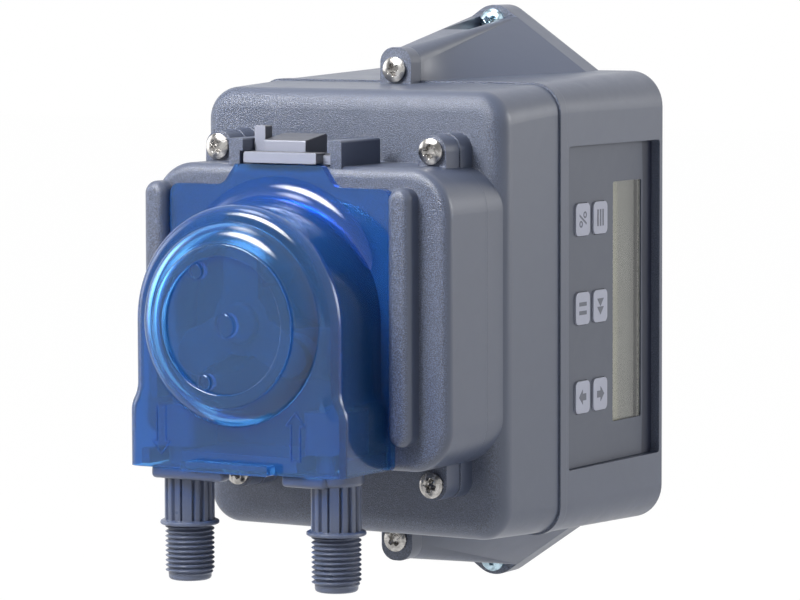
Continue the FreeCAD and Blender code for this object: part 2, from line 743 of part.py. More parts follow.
def build_screws():
    """Casing screws, head screws and gearbox screws, each kind as one group."""
    casing = [pan_screw(0, s * CASING_SCREW_Z, LUG_FRONT_Y, CASING_SCREW_L) for s in (1, -1)]
    save("casing_screws", Part.makeCompound(casing))
    head = [pan_screw(x, z, HEAD_LUG_Y, HEAD_SCREW_L) for x, z, side in HEAD_SCREWS]
    save("head_screws", Part.makeCompound(head))
    gearbox = []
    for x, z in GEARBOX_SPOTS:
        tip_y = max(PLATE_FRONT_Y - GEARBOX_SCREW_IN, boss_front(z) + GEARBOX_HOLE_END + 0.3)
        shank = rod(GEARBOX_SCREW_R, tip_y, GEARBOX_BACK_Y, x, z)
        head_end = GEARBOX_BACK_Y + GEARBOX_SCREW_R * 1.2
        gearbox.append(shank.fuse(rod(GEARBOX_SCREW_R * 1.8, GEARBOX_BACK_Y, head_end, x, z)))
    save("gearbox_screws", Part.makeCompound(gearbox))


def tombstone(half_w, z_low, x_mid=PUMP_X, z_mid=PUMP_Z):
    """Outline with a half-round top about the pump centre and square lower corners."""
    return [
        (x_mid - half_w, z_low, 0),
        (x_mid + half_w, z_low, 0),
        (x_mid + half_w, z_mid + half_w, half_w),
        (x_mid - half_w, z_mid + half_w, half_w),
    ]


def build_head_housing():
    """Pump head: hollow housing, screw lugs, ribs, latch rails, raceway and connector shelf."""
    outer = slab(head_corners(), HEAD_Y, PARTING_Y)
    outer = outer.makeFillet(HEAD_EDGE_R, edges_at(outer, HEAD_Y))
    adds = head_lugs(HEAD_LUG_R, HEAD_LUG_Y, PARTING_Y)
    half_rib = RIB_W / 2
    for side in (-1, 1):
        x = PUMP_X + side * RIB_OFFSET
        corners = rect(x - half_rib, x + half_rib, RIB_Z_LOW, RIB_Z_HIGH, half_rib)
        rib = slab(corners, HEAD_Y - RIB_T, HEAD_Y + HEAD_T)
        adds.append(rib.makeFillet(half_rib * 0.75, edges_at(rib, HEAD_Y - RIB_T)))
    for side in (-1, 1):
        inner = PUMP_X + side * RAIL_INNER
        outer_x = inner + side * RAIL_T
        lip_x = inner - side * RAIL_LIP
        top = HEAD_Z_HIGH + RAIL_H
        rail = [
            (inner, HEAD_Z_HIGH - 1, 0),
            (outer_x, HEAD_Z_HIGH - 1, 0),
            (outer_x, top, 0.8),
            (lip_x, top, 0.6),
            (lip_x, top - RAIL_LIP_H, 0),
            (inner, top - RAIL_LIP_H, 0),
        ]
        adds.append(slab(rail, HEAD_Y + RAIL_FRONT_SET, PARTING_Y))
    race_front = COVER_INNER_Y + RACE_FRONT_GAP
    race_low = PUMP_Z - RACE_LEG
    race = slab(tombstone(RACE_R + RACE_T, race_low), race_front, HEAD_Y + 1)
    race = race.cut(slab(tombstone(RACE_R, race_low - 1), race_front - 1, HEAD_Y + 2))
    adds.append(race)
    shelf_front = COVER_INNER_Y + SHELF_FRONT_GAP
    shelf = box(
        PUMP_X - SHELF_HALF_W, PUMP_X + SHELF_HALF_W, shelf_front, HEAD_Y + 1, SHELF_Z_LOW, SHELF_Z_HIGH
    )
    for side in (-1, 1):
        x = PUMP_X + side * LEG_OFFSET
        slot = NECK_R + SLOT_GAP
        shelf = shelf.cut(rod(slot, SHELF_Z_LOW - 1, SHELF_Z_HIGH + 1, x, TUBE_Y, "Z"))
        shelf = shelf.cut(box(x - slot, x + slot, shelf_front - 1, TUBE_Y, SHELF_Z_LOW - 1, SHELF_Z_HIGH + 1))
    adds.append(shelf)
    body = outer.fuse(adds)
    cavity = slab(head_corners(HEAD_T), HEAD_Y + HEAD_T, PARTING_Y)
    bush_r = SHAFT_R + BUSH_WALL
    cavity = cavity.cut(rod(bush_r + 2.5, HEAD_Y, PARTING_Y - 1, PUMP_X, PUMP_Z))
    body = body.cut(cavity)
    cuts = [rod(bush_r, HEAD_Y - 1, PARTING_Y + 1, PUMP_X, PUMP_Z)]
    hole_r = SCREW_SHANK_R + SCREW_HOLE_GAP
    for x, z, side in HEAD_SCREWS:
        cuts.append(rod(hole_r, HEAD_LUG_Y - 1, PARTING_Y + 1, x, z))
    save("head_housing", body.cut(cuts))


def build_latch():
    """Latch slide that runs between the rails over the cover's tongue."""
    low = HEAD_Z_HIGH + LATCH_GAP
    half = RAIL_INNER - LATCH_SIDE_GAP
    front = HEAD_Y + RAIL_FRONT_SET + 1.0
    back = front + LATCH_L
    plate_top = low + LATCH_PLATE_T
    plate = box(PUMP_X - half, PUMP_X + half, front, back, low, plate_top)
    bar_front = HEAD_Y - LATCH_BAR_OUT
    bar_low = TONGUE_TOP + LATCH_GAP
    bar = slab(
        rect(PUMP_X - LATCH_BAR_HALF, PUMP_X + LATCH_BAR_HALF, bar_low, low + LATCH_BAR_T, 0.4),
        bar_front,
        bar_front + LATCH_BAR_D,
    )
    block_x = PUMP_X - 2.1
    block_front = front + 2.4
    block_back = block_front + LATCH_BLOCK_D
    ramp = [
        (block_front, plate_top - 1, 0),
        (block_back, plate_top - 1, 0),
        (block_back, plate_top + LATCH_BLOCK_H + LATCH_BLOCK_RISE, 0.8),
        (block_front, plate_top + LATCH_BLOCK_H, 0.4),
    ]
    block = slab(ramp, block_x - LATCH_BLOCK_W / 2, block_x + LATCH_BLOCK_W / 2, "X")
    post_x = PUMP_X - RAIL_INNER + RAIL_LIP + LATCH_GAP
    post_front = block_front + 2.0
    post = [
        (post_x + 1.4, low, 0),
        (post_x + LATCH_POST_W, low, 0),
        (post_x + LATCH_POST_W, low + LATCH_POST_H, 0.4),
        (post_x, low + LATCH_POST_H, 0.4),
        (post_x, plate_top + 1.4, 0),
    ]
    save("cover_latch", plate.fuse([bar, block, slab(post, post_front, post_front + LATCH_POST_D)]))


def s_curve(start, end):
    """Two equal arcs that leave start and reach end along Z."""
    side = end.x - start.x
    rise = end.z - start.z
    radius = (side * side + rise * rise) / (4 * abs(side))
    middle = (start + end) * 0.5
    half_turn = math.asin(abs(rise) / 2 / radius) / 2
    bow = radius * (1 - math.cos(half_turn))
    climb = radius * math.sin(half_turn)
    sign_x = math.copysign(1, side)
    sign_z = math.copysign(1, rise)
    first = V(start.x + sign_x * bow, start.y, start.z + sign_z * climb)
    second = V(end.x - sign_x * bow, end.y, end.z - sign_z * climb)
    return [
        Part.Arc(start, first, middle).toShape(),
        Part.Arc(middle, second, end).toShape(),
    ]


def dome_wire(y, radius, flare, z_low):
    """Cover dome outline: half-round top, straight sides, flared foot."""
    right = V(PUMP_X + radius, y, PUMP_Z)
    left = V(PUMP_X - radius, y, PUMP_Z)
    top = V(PUMP_X, y, PUMP_Z + radius)
    right_flare = V(PUMP_X + radius, y, FLARE_Z_HIGH)
    left_flare = V(PUMP_X - radius, y, FLARE_Z_HIGH)
    right_wide = V(PUMP_X + flare, y, FLARE_Z_LOW)
    left_wide = V(PUMP_X - flare, y, FLARE_Z_LOW)
    right_foot = V(PUMP_X + flare, y, z_low)
    left_foot = V(PUMP_X - flare, y, z_low)
    edges = [Part.Arc(right, top, left).toShape(), Part.makeLine(left, left_flare)]
    edges += s_curve(left_flare, left_wide)
    edges.append(Part.makeLine(left_wide, left_foot))
    edges.append(Part.makeLine(left_foot, right_foot))
    edges.append(Part.makeLine(right_foot, right_wide))
    edges += s_curve(right_wide, right_flare)
    edges.append(Part.makeLine(right_flare, right))
    return Part.Wire(edges)


def cushion(shrink, y_foot, y_top):
    """Round raised part of the cover's front, between its foot plane and its top plane."""
    foot_r = CUSHION_FOOT_R - shrink
    top_r = CUSHION_TOP_R - shrink
    foot = V(PUMP_X + foot_r, y_foot, PUMP_Z)
    top = V(PUMP_X + top_r, y_top, PUMP_Z)
    chord = foot - top
    bow = V(-chord.y, chord.x, 0).normalize() * -CUSHION_BOW
    middle = (foot + top) * 0.5 + bow
    top_centre = V(PUMP_X, y_top, PUMP_Z)
    back_centre = V(PUMP_X, y_foot + CUSHION_BOW, PUMP_Z)
    back = V(PUMP_X + foot_r, y_foot + CUSHION_BOW, PUMP_Z)
    profile = Part.Wire([
        Part.makeLine(top_centre, top),
        Part.Arc(top, middle, foot).toShape(),
        Part.makeLine(foot, back),
        Part.makeLine(back, back_centre),
        Part.makeLine(back_centre, top_centre),
    ])
    return Part.Face(profile).revolve(V(PUMP_X, 0, PUMP_Z), V(0, 1, 0), 360)


def build_cover():
    """Snap-on translucent cover with its flange, tongue, dome, bead ring and lip."""
    wires = [
        dome_wire(COVER_BACK_Y, DOME_R, FLARE_HALF_W, COVER_Z_LOW),
        dome_wire(COVER_FRONT_Y, DOME_FRONT_R, FLARE_HALF_W - DOME_R + DOME_FRONT_R, COVER_Z_LOW),
    ]
    dome = Part.makeLoft(wires, True, True)
    rim = []
    for edge in edges_at(dome, COVER_FRONT_Y):
        if edge.BoundBox.ZMax > COVER_Z_LOW + 0.5:
            rim.append(edge)
    dome = dome.makeFillet(DOME_EDGE_R, rim)
    knee = FLANGE_Z_HIGH
    flange_corners = [
        (PUMP_X - FLANGE_HALF_W, COVER_Z_LOW, 1.0),
        (PUMP_X + FLANGE_HALF_W, COVER_Z_LOW, 1.0),
        (PUMP_X + FLANGE_HALF_W, knee, FLANGE_CORNER_R),
        (PUMP_X + TONGUE_HALF_W + TONGUE_SPREAD - 2.6, knee, 4.0),
        (PUMP_X + TONGUE_HALF_W, TONGUE_TOP, 0.6),
        (PUMP_X - TONGUE_HALF_W, TONGUE_TOP, 0.6),
        (PUMP_X - TONGUE_HALF_W - TONGUE_SPREAD + 2.6, knee, 4.0),
        (PUMP_X - FLANGE_HALF_W, knee, FLANGE_CORNER_R),
    ]
    flange = slab(flange_corners, COVER_BACK_Y - FLANGE_T, COVER_BACK_Y)
    inner_wires = [
        dome_wire(COVER_BACK_Y + 1, DOME_R - COVER_T, FLARE_HALF_W - COVER_T, COVER_Z_LOW - 1),
        dome_wire(COVER_INNER_Y, DOME_FRONT_R - COVER_T, FLARE_HALF_W - COVER_T, COVER_Z_LOW - 1),
    ]
    hollow = Part.makeLoft(inner_wires, True, True)
    bead = ring(BEAD_R_OUT, BEAD_R_IN, COVER_NOSE_Y - BEAD_T, COVER_NOSE_Y + NOSE_SINK, PUMP_X, PUMP_Z)
    bead = bead.makeFillet(BEAD_EDGE_R, edges_at(bead, COVER_NOSE_Y - BEAD_T))
    lip = rect(PUMP_X - LIP_HALF_W, PUMP_X + LIP_HALF_W, COVER_Z_LOW, COVER_Z_LOW + LIP_H, 0.6)
    lip = slab(lip, COVER_FRONT_Y - LIP_T, COVER_FRONT_Y + 0.5)
    shell = dome.fuse([flange, cushion(0, COVER_FRONT_Y, COVER_NOSE_Y), lip])
    room = hollow.fuse(cushion(COVER_T, COVER_INNER_Y, COVER_NOSE_Y + COVER_T))
    shell = shell.cut([room, rod(BEAD_R_IN, COVER_NOSE_Y - 1, COVER_NOSE_Y + NOSE_SINK, PUMP_X, PUMP_Z)])
    studs = [(BOSS_R, PUMP_X, PUMP_Z)]
    for turn in PIP_TURNS:
        x = PUMP_X + PIP_ORBIT_R * math.cos(math.radians(turn))
        z = PUMP_Z + PIP_ORBIT_R * math.sin(math.radians(turn))
        studs.append((PIP_R, x, z))
    stud_front = COVER_NOSE_Y + NOSE_SINK - PIP_OUT
    stud_back = COVER_NOSE_Y + COVER_T + POST_IN
    adds = [bead]
    for radius, x, z in studs:
        stud = rod(radius, stud_front, stud_back, x, z)
        adds.append(stud.makeFillet(PIP_OUT * 0.7, edges_at(stud, stud_front)))
    save("pump_cover", shell.fuse(adds))


def tube_wire(x, z, thick, wide):
    """Tube outline in a level plane: round when thick equals wide, else squeezed flat along X."""
    half_t = thick / 2
    half_w = wide / 2
    if wide - thick < 1e-6:
        bend = half_t * math.sqrt(0.5)
        corner_x = bend
        corner_y = bend
    else:
        corner_x = half_t
        corner_y = half_w - half_t
    right_low = V(x + corner_x, TUBE_Y - corner_y, z)
    right_high = V(x + corner_x, TUBE_Y + corner_y, z)
    left_high = V(x - corner_x, TUBE_Y + corner_y, z)
    left_low = V(x - corner_x, TUBE_Y - corner_y, z)
    back = Part.Arc(right_high, V(x, TUBE_Y + half_w, z), left_high).toShape()
    front = Part.Arc(left_low, V(x, TUBE_Y - half_w, z), right_low).toShape()
    if wide - thick < 1e-6:
        right = Part.Arc(right_low, V(x + half_t, TUBE_Y, z), right_high).toShape()
        left = Part.Arc(left_high, V(x - half_t, TUBE_Y, z), left_low).toShape()
    else:
        right = Part.makeLine(right_low, right_high)
        left = Part.makeLine(left_high, left_low)
    return Part.Wire([right, back, left, front])


def tube_body(round_size, thick, wide):
    """Solid of the whole tube route for one outline: arch, two changes of section, two legs."""
    arch_face = Part.Face(tube_wire(PUMP_X + TUBE_MID_R, PUMP_Z, thick, wide))
    arch = arch_face.revolve(V(PUMP_X, TUBE_Y, PUMP_Z), V(0, -1, 0), 180)
    pieces = []
    for side in (-1, 1):
        flat_x = PUMP_X + side * TUBE_MID_R
        leg_x = PUMP_X + side * LEG_OFFSET
        flat_z = PUMP_Z - FLAT_END
        round_z = PUMP_Z - LEG_ROUND_FROM
        straight = Part.Face(tube_wire(flat_x, flat_z, thick, wide)).extrude(V(0, 0, FLAT_END))
        change = Part.makeLoft(
            [tube_wire(leg_x, round_z, round_size, round_size), tube_wire(flat_x, flat_z, thick, wide)],
            True,
            True,
        )
        leg = rod(round_size / 2, TUBE_END_Z, round_z, leg_x, TUBE_Y, "Z")
        pieces += [straight, change, leg]
    return arch.fuse(pieces)


def build_tube():
    """Elastomer pump tube: round on the barbs, squeezed against the raceway over the top."""
    outer = tube_body(TUBE_OD, TUBE_FLAT_T, TUBE_FLAT_W)
    slot_w = TUBE_FLAT_W - TUBE_FLAT_T + TUBE_FLAT_SLOT
    inner = tube_body(TUBE_ID, TUBE_FLAT_SLOT, slot_w)
    save("pump_tube", outer.cut(inner))


def build_connector(node, side):
    """Hose connector: threaded spigot, fluted barrel, flange and tube clamp block with its barb."""
    x = PUMP_X + side * LEG_OFFSET
    disc_high = COVER_Z_LOW - DISC_GAP
    disc_low = disc_high - DISC_T
    collar_low = BARREL_LOW_Z - COLLAR_T
    thread_low = collar_low - THREAD_L
    disc = rod(DISC_R, disc_low, disc_high, x, TUBE_Y, "Z")
    disc = disc.makeFillet(1.2, edges_at(disc, disc_low, "Z"))
    tab_out, tab_in = TAB_ENDS[side]
    tab_ends = sorted((x + side * tab_out, x - side * tab_in))
    tab = slab(
        rect(tab_ends[0], tab_ends[1], disc_high - TAB_H, disc_high, 1.6),
        TUBE_Y - TAB_OUT,
        TUBE_Y - TAB_OUT + TAB_T,
    )
    barrel = rod(BARREL_R, BARREL_LOW_Z, disc_low + 0.5, x, TUBE_Y, "Z")
    flutes = []
    for index in range(FLUTE_COUNT):
        turn = 2 * math.pi * index / FLUTE_COUNT
        flute_x = x + (BARREL_R + 0.2) * math.cos(turn)
        flute_y = TUBE_Y + (BARREL_R + 0.2) * math.sin(turn)
        flutes.append(rod(FLUTE_R, BARREL_LOW_Z, disc_low - 1.0, flute_x, flute_y, "Z"))
    barrel = barrel.cut(flutes)
    collar = rod(COLLAR_R, collar_low, BARREL_LOW_Z, x, TUBE_Y, "Z")
    collar = collar.makeChamfer(0.4, edges_at(collar, BARREL_LOW_Z, "Z"))
    thread = rod(THREAD_R, thread_low, collar_low, x, TUBE_Y, "Z")
    neck = rod(NECK_R, disc_high - 0.5, BLOCK_Z_LOW + 0.5, x, TUBE_Y, "Z")
    block = slab(
        rect(x - BLOCK_HALF, x + BLOCK_HALF, TUBE_Y - BLOCK_HALF, TUBE_Y + BLOCK_HALF, 1.2),
        BLOCK_Z_LOW,
        BLOCK_Z_HIGH,
        "Z",
    )
    body = disc.fuse([tab, barrel, collar, thread, neck, block])
    socket = rod(TUBE_OD / 2, TUBE_END_Z, BLOCK_Z_HIGH + 1, x, TUBE_Y, "Z")
    body = body.cut(socket)
    body = body.fuse(rod(BARB_R, TUBE_END_Z - 0.5, BARB_TOP_Z, x, TUBE_Y, "Z"))
    chamfer = Part.makeCone(
        THREAD_R + 1, THREAD_R + 1 + THREAD_CHAMFER, THREAD_CHAMFER, V(x, TUBE_Y, thread_low), V(0, 0, 1)
    )
    chamfer = chamfer.cut(
        Part.makeCone(THREAD_R - THREAD_CHAMFER, THREAD_R, THREAD_CHAMFER, V(x, TUBE_Y, thread_low), V(0, 0, 1))
    )
    bore = rod(BORE_R, thread_low - 1, disc_low, x, TUBE_Y, "Z")
    fine_bore = rod(BARB_BORE_R, disc_low - 1, BARB_TOP_Z + 1, x, TUBE_Y, "Z")
    save(node, body.cut([chamfer, bore, fine_bore]))


ROTOR_FRONT_Y = TUBE_Y - ROLLER_L / 2 - ROLLER_GAP
ROTOR_BACK_Y = TUBE_Y + ROLLER_L / 2 + ROLLER_GAP
ROTOR_NOSE_Y = ROTOR_FRONT_Y - ROTOR_PLATE_T
ROLLER_TURNS = [90 + 360 / ROLLER_COUNT * index for index in range(ROLLER_COUNT)]


def roller_spot(turn):
    """Centre of a roller at an angle round the pump centre."""
    x = PUMP_X + ROLLER_ORBIT_R * math.cos(math.radians(turn))
    z = PUMP_Z + ROLLER_ORBIT_R * math.sin(math.radians(turn))
    return x, z


def rotor_plate(y_low, y_high):
    """Three-lobed plate of the rotor."""
    lobes = [rod(ROTOR_CORE_R, y_low, y_high, PUMP_X, PUMP_Z)]
    for turn in ROLLER_TURNS:
        x, z = roller_spot(turn)
        arm = box(0, ROLLER_ORBIT_R, y_low, y_high, -ROTOR_LOBE_R, ROTOR_LOBE_R)
        arm.rotate(V(0, 0, 0), V(0, -1, 0), turn)
        arm.translate(V(PUMP_X, 0, PUMP_Z))
        lobes += [arm, rod(ROTOR_LOBE_R, y_low, y_high, x, z)]
    return lobes[0].fuse(lobes[1:]).removeSplitter()


def build_rotor():
    """Output shaft, rotor frame, front plate, roller pins, hub cap and the three rollers."""
    back_plate = rotor_plate(ROTOR_BACK_Y, ROTOR_BACK_Y + ROTOR_PLATE_T)
    core = rod(ROTOR_CORE_R, ROTOR_FRONT_Y, ROTOR_BACK_Y, PUMP_X, PUMP_Z)
    holes = [rod(SHAFT_R, ROTOR_NOSE_Y - 1, ROTOR_BACK_Y + ROTOR_PLATE_T + 1, PUMP_X, PUMP_Z)]
    pins = []
    for index, turn in enumerate(ROLLER_TURNS):
        x, z = roller_spot(turn)
        pin = rod(ROLLER_PIN_R, ROTOR_NOSE_Y, ROTOR_BACK_Y + ROTOR_PLATE_T, x, z)
        pins.append(pin)
        holes.append(pin)
        roller = ring(
            ROLLER_R, ROLLER_PIN_R + RUN_GAP, TUBE_Y - ROLLER_L / 2, TUBE_Y + ROLLER_L / 2, x, z
        )
        roller = roller.makeChamfer(0.7, [e for e in roller.Edges if abs(e.Length - 2 * math.pi * ROLLER_R) < 0.01])
        save("roller_" + str(index + 1), roller)
    save("rotor_frame", back_plate.fuse(core).cut(holes))
    save("rotor_front_plate", rotor_plate(ROTOR_NOSE_Y, ROTOR_FRONT_Y).cut(holes))
    save("roller_pins", Part.makeCompound(pins))
    cap = rod(ROTOR_CAP_R, ROTOR_NOSE_Y - ROTOR_CAP_T, ROTOR_NOSE_Y, PUMP_X, PUMP_Z)
    cap = cap.makeFillet(0.9, edges_at(cap, ROTOR_NOSE_Y - ROTOR_CAP_T))
    save("rotor_cap", cap)
    save("output_shaft", rod(SHAFT_R, ROTOR_NOSE_Y, GEARBOX_BACK_Y, PUMP_X, PUMP_Z))


def involute(angle):
    """Involute of an angle in radians."""
    return math.tan(angle) - angle


def spur_gear(teeth, y_low, y_high, x, z, turn):
    """Spur gear with one tooth centred at the given angle, in radians."""
    pitch_r = MODULE * teeth / 2
    pressure = math.radians(PRESSURE_ANGLE)
    base_r = pitch_r * math.cos(pressure)
    tip_r = pitch_r + ADDENDUM * MODULE
    root_r = pitch_r - DEDENDUM * MODULE
    pitch_half = (math.pi * MODULE / 2 - BACKLASH) / (2 * pitch_r)
    radii = sorted({root_r, max(root_r, base_r), pitch_r, tip_r})
    flank = []
    for radius in radii:
        lean = math.acos(min(1.0, base_r / radius))
        flank.append((radius, pitch_half + involute(pressure) - involute(lean)))
    points = []
    for index in range(teeth):
        centre = turn + 2 * math.pi * index / teeth
        tooth = [(radius, centre - half) for radius, half in flank]
        tooth += [(radius, centre + half) for radius, half in reversed(flank)]
        points += [V(x + r * math.cos(t), y_low, z + r * math.sin(t)) for r, t in tooth]
    points.append(points[0])
    return Part.Face(Part.makePolygon(points)).extrude(V(0, y_high - y_low, 0))


def build_gear_train():
    """Output gear, compound idler on its pin, motor pinion, plates, spacers and bushes."""
    up = math.pi / 2
    to_motor = math.radians(MOTOR_BEARING_DEG)
    gear_low = PLATE_FRONT_Y + PLATE_T + GEAR_SIDE_GAP
    gear_high = gear_low + OUTPUT_GEAR_T
    output = spur_gear(OUTPUT_TEETH, gear_low, gear_high, PUMP_X, PUMP_Z, up)
    output = output.fuse(rod(HUB_R, gear_low, gear_high + 3.0, PUMP_X, PUMP_Z))
    save("output_gear", output.cut(rod(SHAFT_R, gear_low - 1, gear_high + 5, PUMP_X, PUMP_Z)))

    wheel_low = gear_high + GEAR_SIDE_GAP
    wheel_high = wheel_low + WHEEL_T
    pinion_turn = up + math.pi + math.pi / IDLER_PINION_TEETH
    idler = spur_gear(IDLER_PINION_TEETH, gear_low - 0.4, wheel_low, IDLER_X, IDLER_Z, pinion_turn)
    idler = idler.fuse(spur_gear(IDLER_WHEEL_TEETH, wheel_low, wheel_high, IDLER_X, IDLER_Z, to_motor))
    pin_low = PLATE_FRONT_Y
    pin_bore = rod(IDLER_PIN_R + RUN_GAP, pin_low, GEARBOX_BACK_Y, IDLER_X, IDLER_Z)
    save("idler_gear", idler.cut(pin_bore))
    save("idler_pin", rod(IDLER_PIN_R, pin_low, GEARBOX_BACK_Y, IDLER_X, IDLER_Z))

    motor_turn = to_motor + math.pi + math.pi / MOTOR_TEETH
    pinion = spur_gear(MOTOR_TEETH, wheel_low - 0.4, wheel_high + 0.4, MOTOR_X, MOTOR_Z, motor_turn)
    shaft_low = wheel_low - 0.4
    shaft_high = GEARBOX_BACK_Y + MOTOR_L - 2
    shaft = rod(MOTOR_SHAFT_R, shaft_low, shaft_high, MOTOR_X, MOTOR_Z)
    save("motor_pinion", pinion.cut(shaft))
    save("motor_shaft", shaft)

    corners = rect(PLATE_X_LOW, PLATE_X_HIGH, PLATE_Z_LOW, PLATE_Z_HIGH, PLATE_CORNER_R)
    bush_r = SHAFT_R + BUSH_WALL
    screw_hole = GEARBOX_SCREW_R + SCREW_HOLE_GAP
    front_plate = slab(corners, PLATE_FRONT_Y, PLATE_FRONT_Y + PLATE_T)
    rear_plate = slab(corners, PLATE_REAR_Y, GEARBOX_BACK_Y)
    holes = [rod(IDLER_PIN_R, pin_low - 1, GEARBOX_BACK_Y + 1, IDLER_X, IDLER_Z)]
    for x, z in GEARBOX_SPOTS:
        holes.append(rod(screw_hole, pin_low - 1, GEARBOX_BACK_Y + 1, x, z))
    shaft_hole = rod(bush_r, pin_low - 1, GEARBOX_BACK_Y + 1, PUMP_X, PUMP_Z)
    motor_nose = rod(MOTOR_NOSE_R, PLATE_REAR_Y - 1, GEARBOX_BACK_Y + 1, MOTOR_X, MOTOR_Z)
    save("gearbox_front_plate", front_plate.cut(holes + [shaft_hole]))
    save("gearbox_rear_plate", rear_plate.cut(holes + [shaft_hole, motor_nose]))
    spacers = []
    for x, z in GEARBOX_SPOTS:
        spacers.append(ring(SPACER_R, screw_hole, PLATE_FRONT_Y + PLATE_T, PLATE_REAR_Y, x, z))
    save("gearbox_spacers", Part.makeCompound(spacers))

    run_r = SHAFT_R + RUN_GAP
    rear_bush = rod(bush_r, PLATE_REAR_Y, GEARBOX_BACK_Y, PUMP_X, PUMP_Z)
    flange_low = PLATE_REAR_Y - BUSH_FLANGE_T
    rear_bush = rear_bush.fuse(rod(bush_r + BUSH_FLANGE_R, flange_low, PLATE_REAR_Y, PUMP_X, PUMP_Z))
    save("rear_bush", rear_bush.cut(rod(run_r, flange_low - 1, GEARBOX_BACK_Y + 1, PUMP_X, PUMP_Z)))
    bush_back = HEAD_Y + FRONT_BUSH_L
    front_bush = rod(bush_r, HEAD_Y, bush_back, PUMP_X, PUMP_Z)
    save("front_bush", front_bush.cut(rod(run_r, HEAD_Y - 1, bush_back + 1, PUMP_X, PUMP_Z)))
    lip_r = SHAFT_R + SEAL_LIP_R
    lip_low = PARTING_Y + SEAL_LIP_SET
    seal = ring(SEAL_R, lip_r, PARTING_Y, PARTING_Y + SEAL_T, PUMP_X, PUMP_Z)
    lips = ring(lip_r, run_r, lip_low, lip_low + SEAL_LIP_T, PUMP_X, PUMP_Z)
    save("shaft_seal", seal.fuse(lips))


def build_motor():
    """Motor can behind the rear gearbox plate and its end cap."""
    can_back = GEARBOX_BACK_Y + MOTOR_L
    can = rod(MOTOR_R, GEARBOX_BACK_Y, can_back, MOTOR_X, MOTOR_Z)
    can = can.makeFillet(MOTOR_EDGE_R, edges_at(can, GEARBOX_BACK_Y))
    can = can.fuse(rod(MOTOR_NOSE_R, PLATE_REAR_Y, GEARBOX_BACK_Y, MOTOR_X, MOTOR_Z))
    bore = rod(MOTOR_SHAFT_R + RUN_GAP, PLATE_REAR_Y - 1, can_back - 1, MOTOR_X, MOTOR_Z)
    save("motor_can", can.cut(bore))
    cap_back = can_back + MOTOR_CAP_T
    cap = rod(MOTOR_R - MOTOR_CAP_STEP, can_back, cap_back, MOTOR_X, MOTOR_Z)
    lugs = []
    for side in (-1, 1):
        x = MOTOR_X + side * MOTOR_R * 0.5
        low_z = MOTOR_Z - MOTOR_TAG_T / 2
        high_z = MOTOR_Z + MOTOR_TAG_T / 2
        lugs.append(box(x - MOTOR_TAG_W / 2, x + MOTOR_TAG_W / 2, can_back, cap_back + MOTOR_TAG_L, low_z, high_z))
    save("motor_end_cap", cap.fuse(lugs))


def build_display():
    """Film, window, display module, control board, switches and the six keys."""
    front, back = panel_y()
    film_corners = rect(
        front + FILM_GAP, back - FILM_GAP, -PANEL_HALF_H + FILM_GAP, PANEL_HALF_H - FILM_GAP, 0.8
    )
    film = slab(film_corners, PANEL_X, PANEL_X + FILM_T, "X")
    holes = [slab(lcd_corners(-0.6), PANEL_X - 1, PANEL_X + 2, "X")]
    key_low = PANEL_X + KEY_LIFT
    switches = []
    for index, (y, z) in enumerate(KEY_SPOTS):
        holes.append(slab(key_corners(y, z, FILM_GAP), PANEL_X - 1, PANEL_X + 2, "X"))
        key = slab(key_corners(y, z), key_low, key_low + KEY_T, "X")
        stem_end = PANEL_X - KEY_STEM_REACH
        key = key.fuse(rod(KEY_STEM_R, stem_end, key_low, y, z, "X"))
        save("key_" + str(index + 1), key)
        half = SWITCH_W / 2
        switch = slab(rect(y - half, y + half, z - half, z + half), BOARD_X, BOARD_X + SWITCH_T, "X")
        tip = rod(SWITCH_TIP_R, BOARD_X, stem_end - KEY_LIFT - 0.1, y, z, "X")
        switches.append(switch.fuse(tip))
    save("control_film", film.cut(holes))
    save("key_switches", Part.makeCompound(switches))
    save("display_window", slab(lcd_corners(-WINDOW_GAP), PANEL_X - WINDOW_T, PANEL_X, "X"))

    board = slab(rect(BOARD_Y_LOW, BOARD_Y_HIGH, -BOARD_HALF_H, BOARD_HALF_H, 1.0), BOARD_X - BOARD_T, BOARD_X, "X")
    peg_holes = [rod(PEG_R + PEG_GAP, BOARD_X - 5, BOARD_X + 5, y, z, "X") for y, z in BOARD_PEGS]
    save("control_board", board.cut(peg_holes))
    frame_top = PANEL_INNER_X - 0.3
    module = slab(lcd_corners(1.4), BOARD_X, frame_top, "X")
    well = slab(lcd_corners(-LCD_FRAME + 1.8), frame_top - 0.6, frame_top + 1, "X")
    save("display_module", module.cut(well))


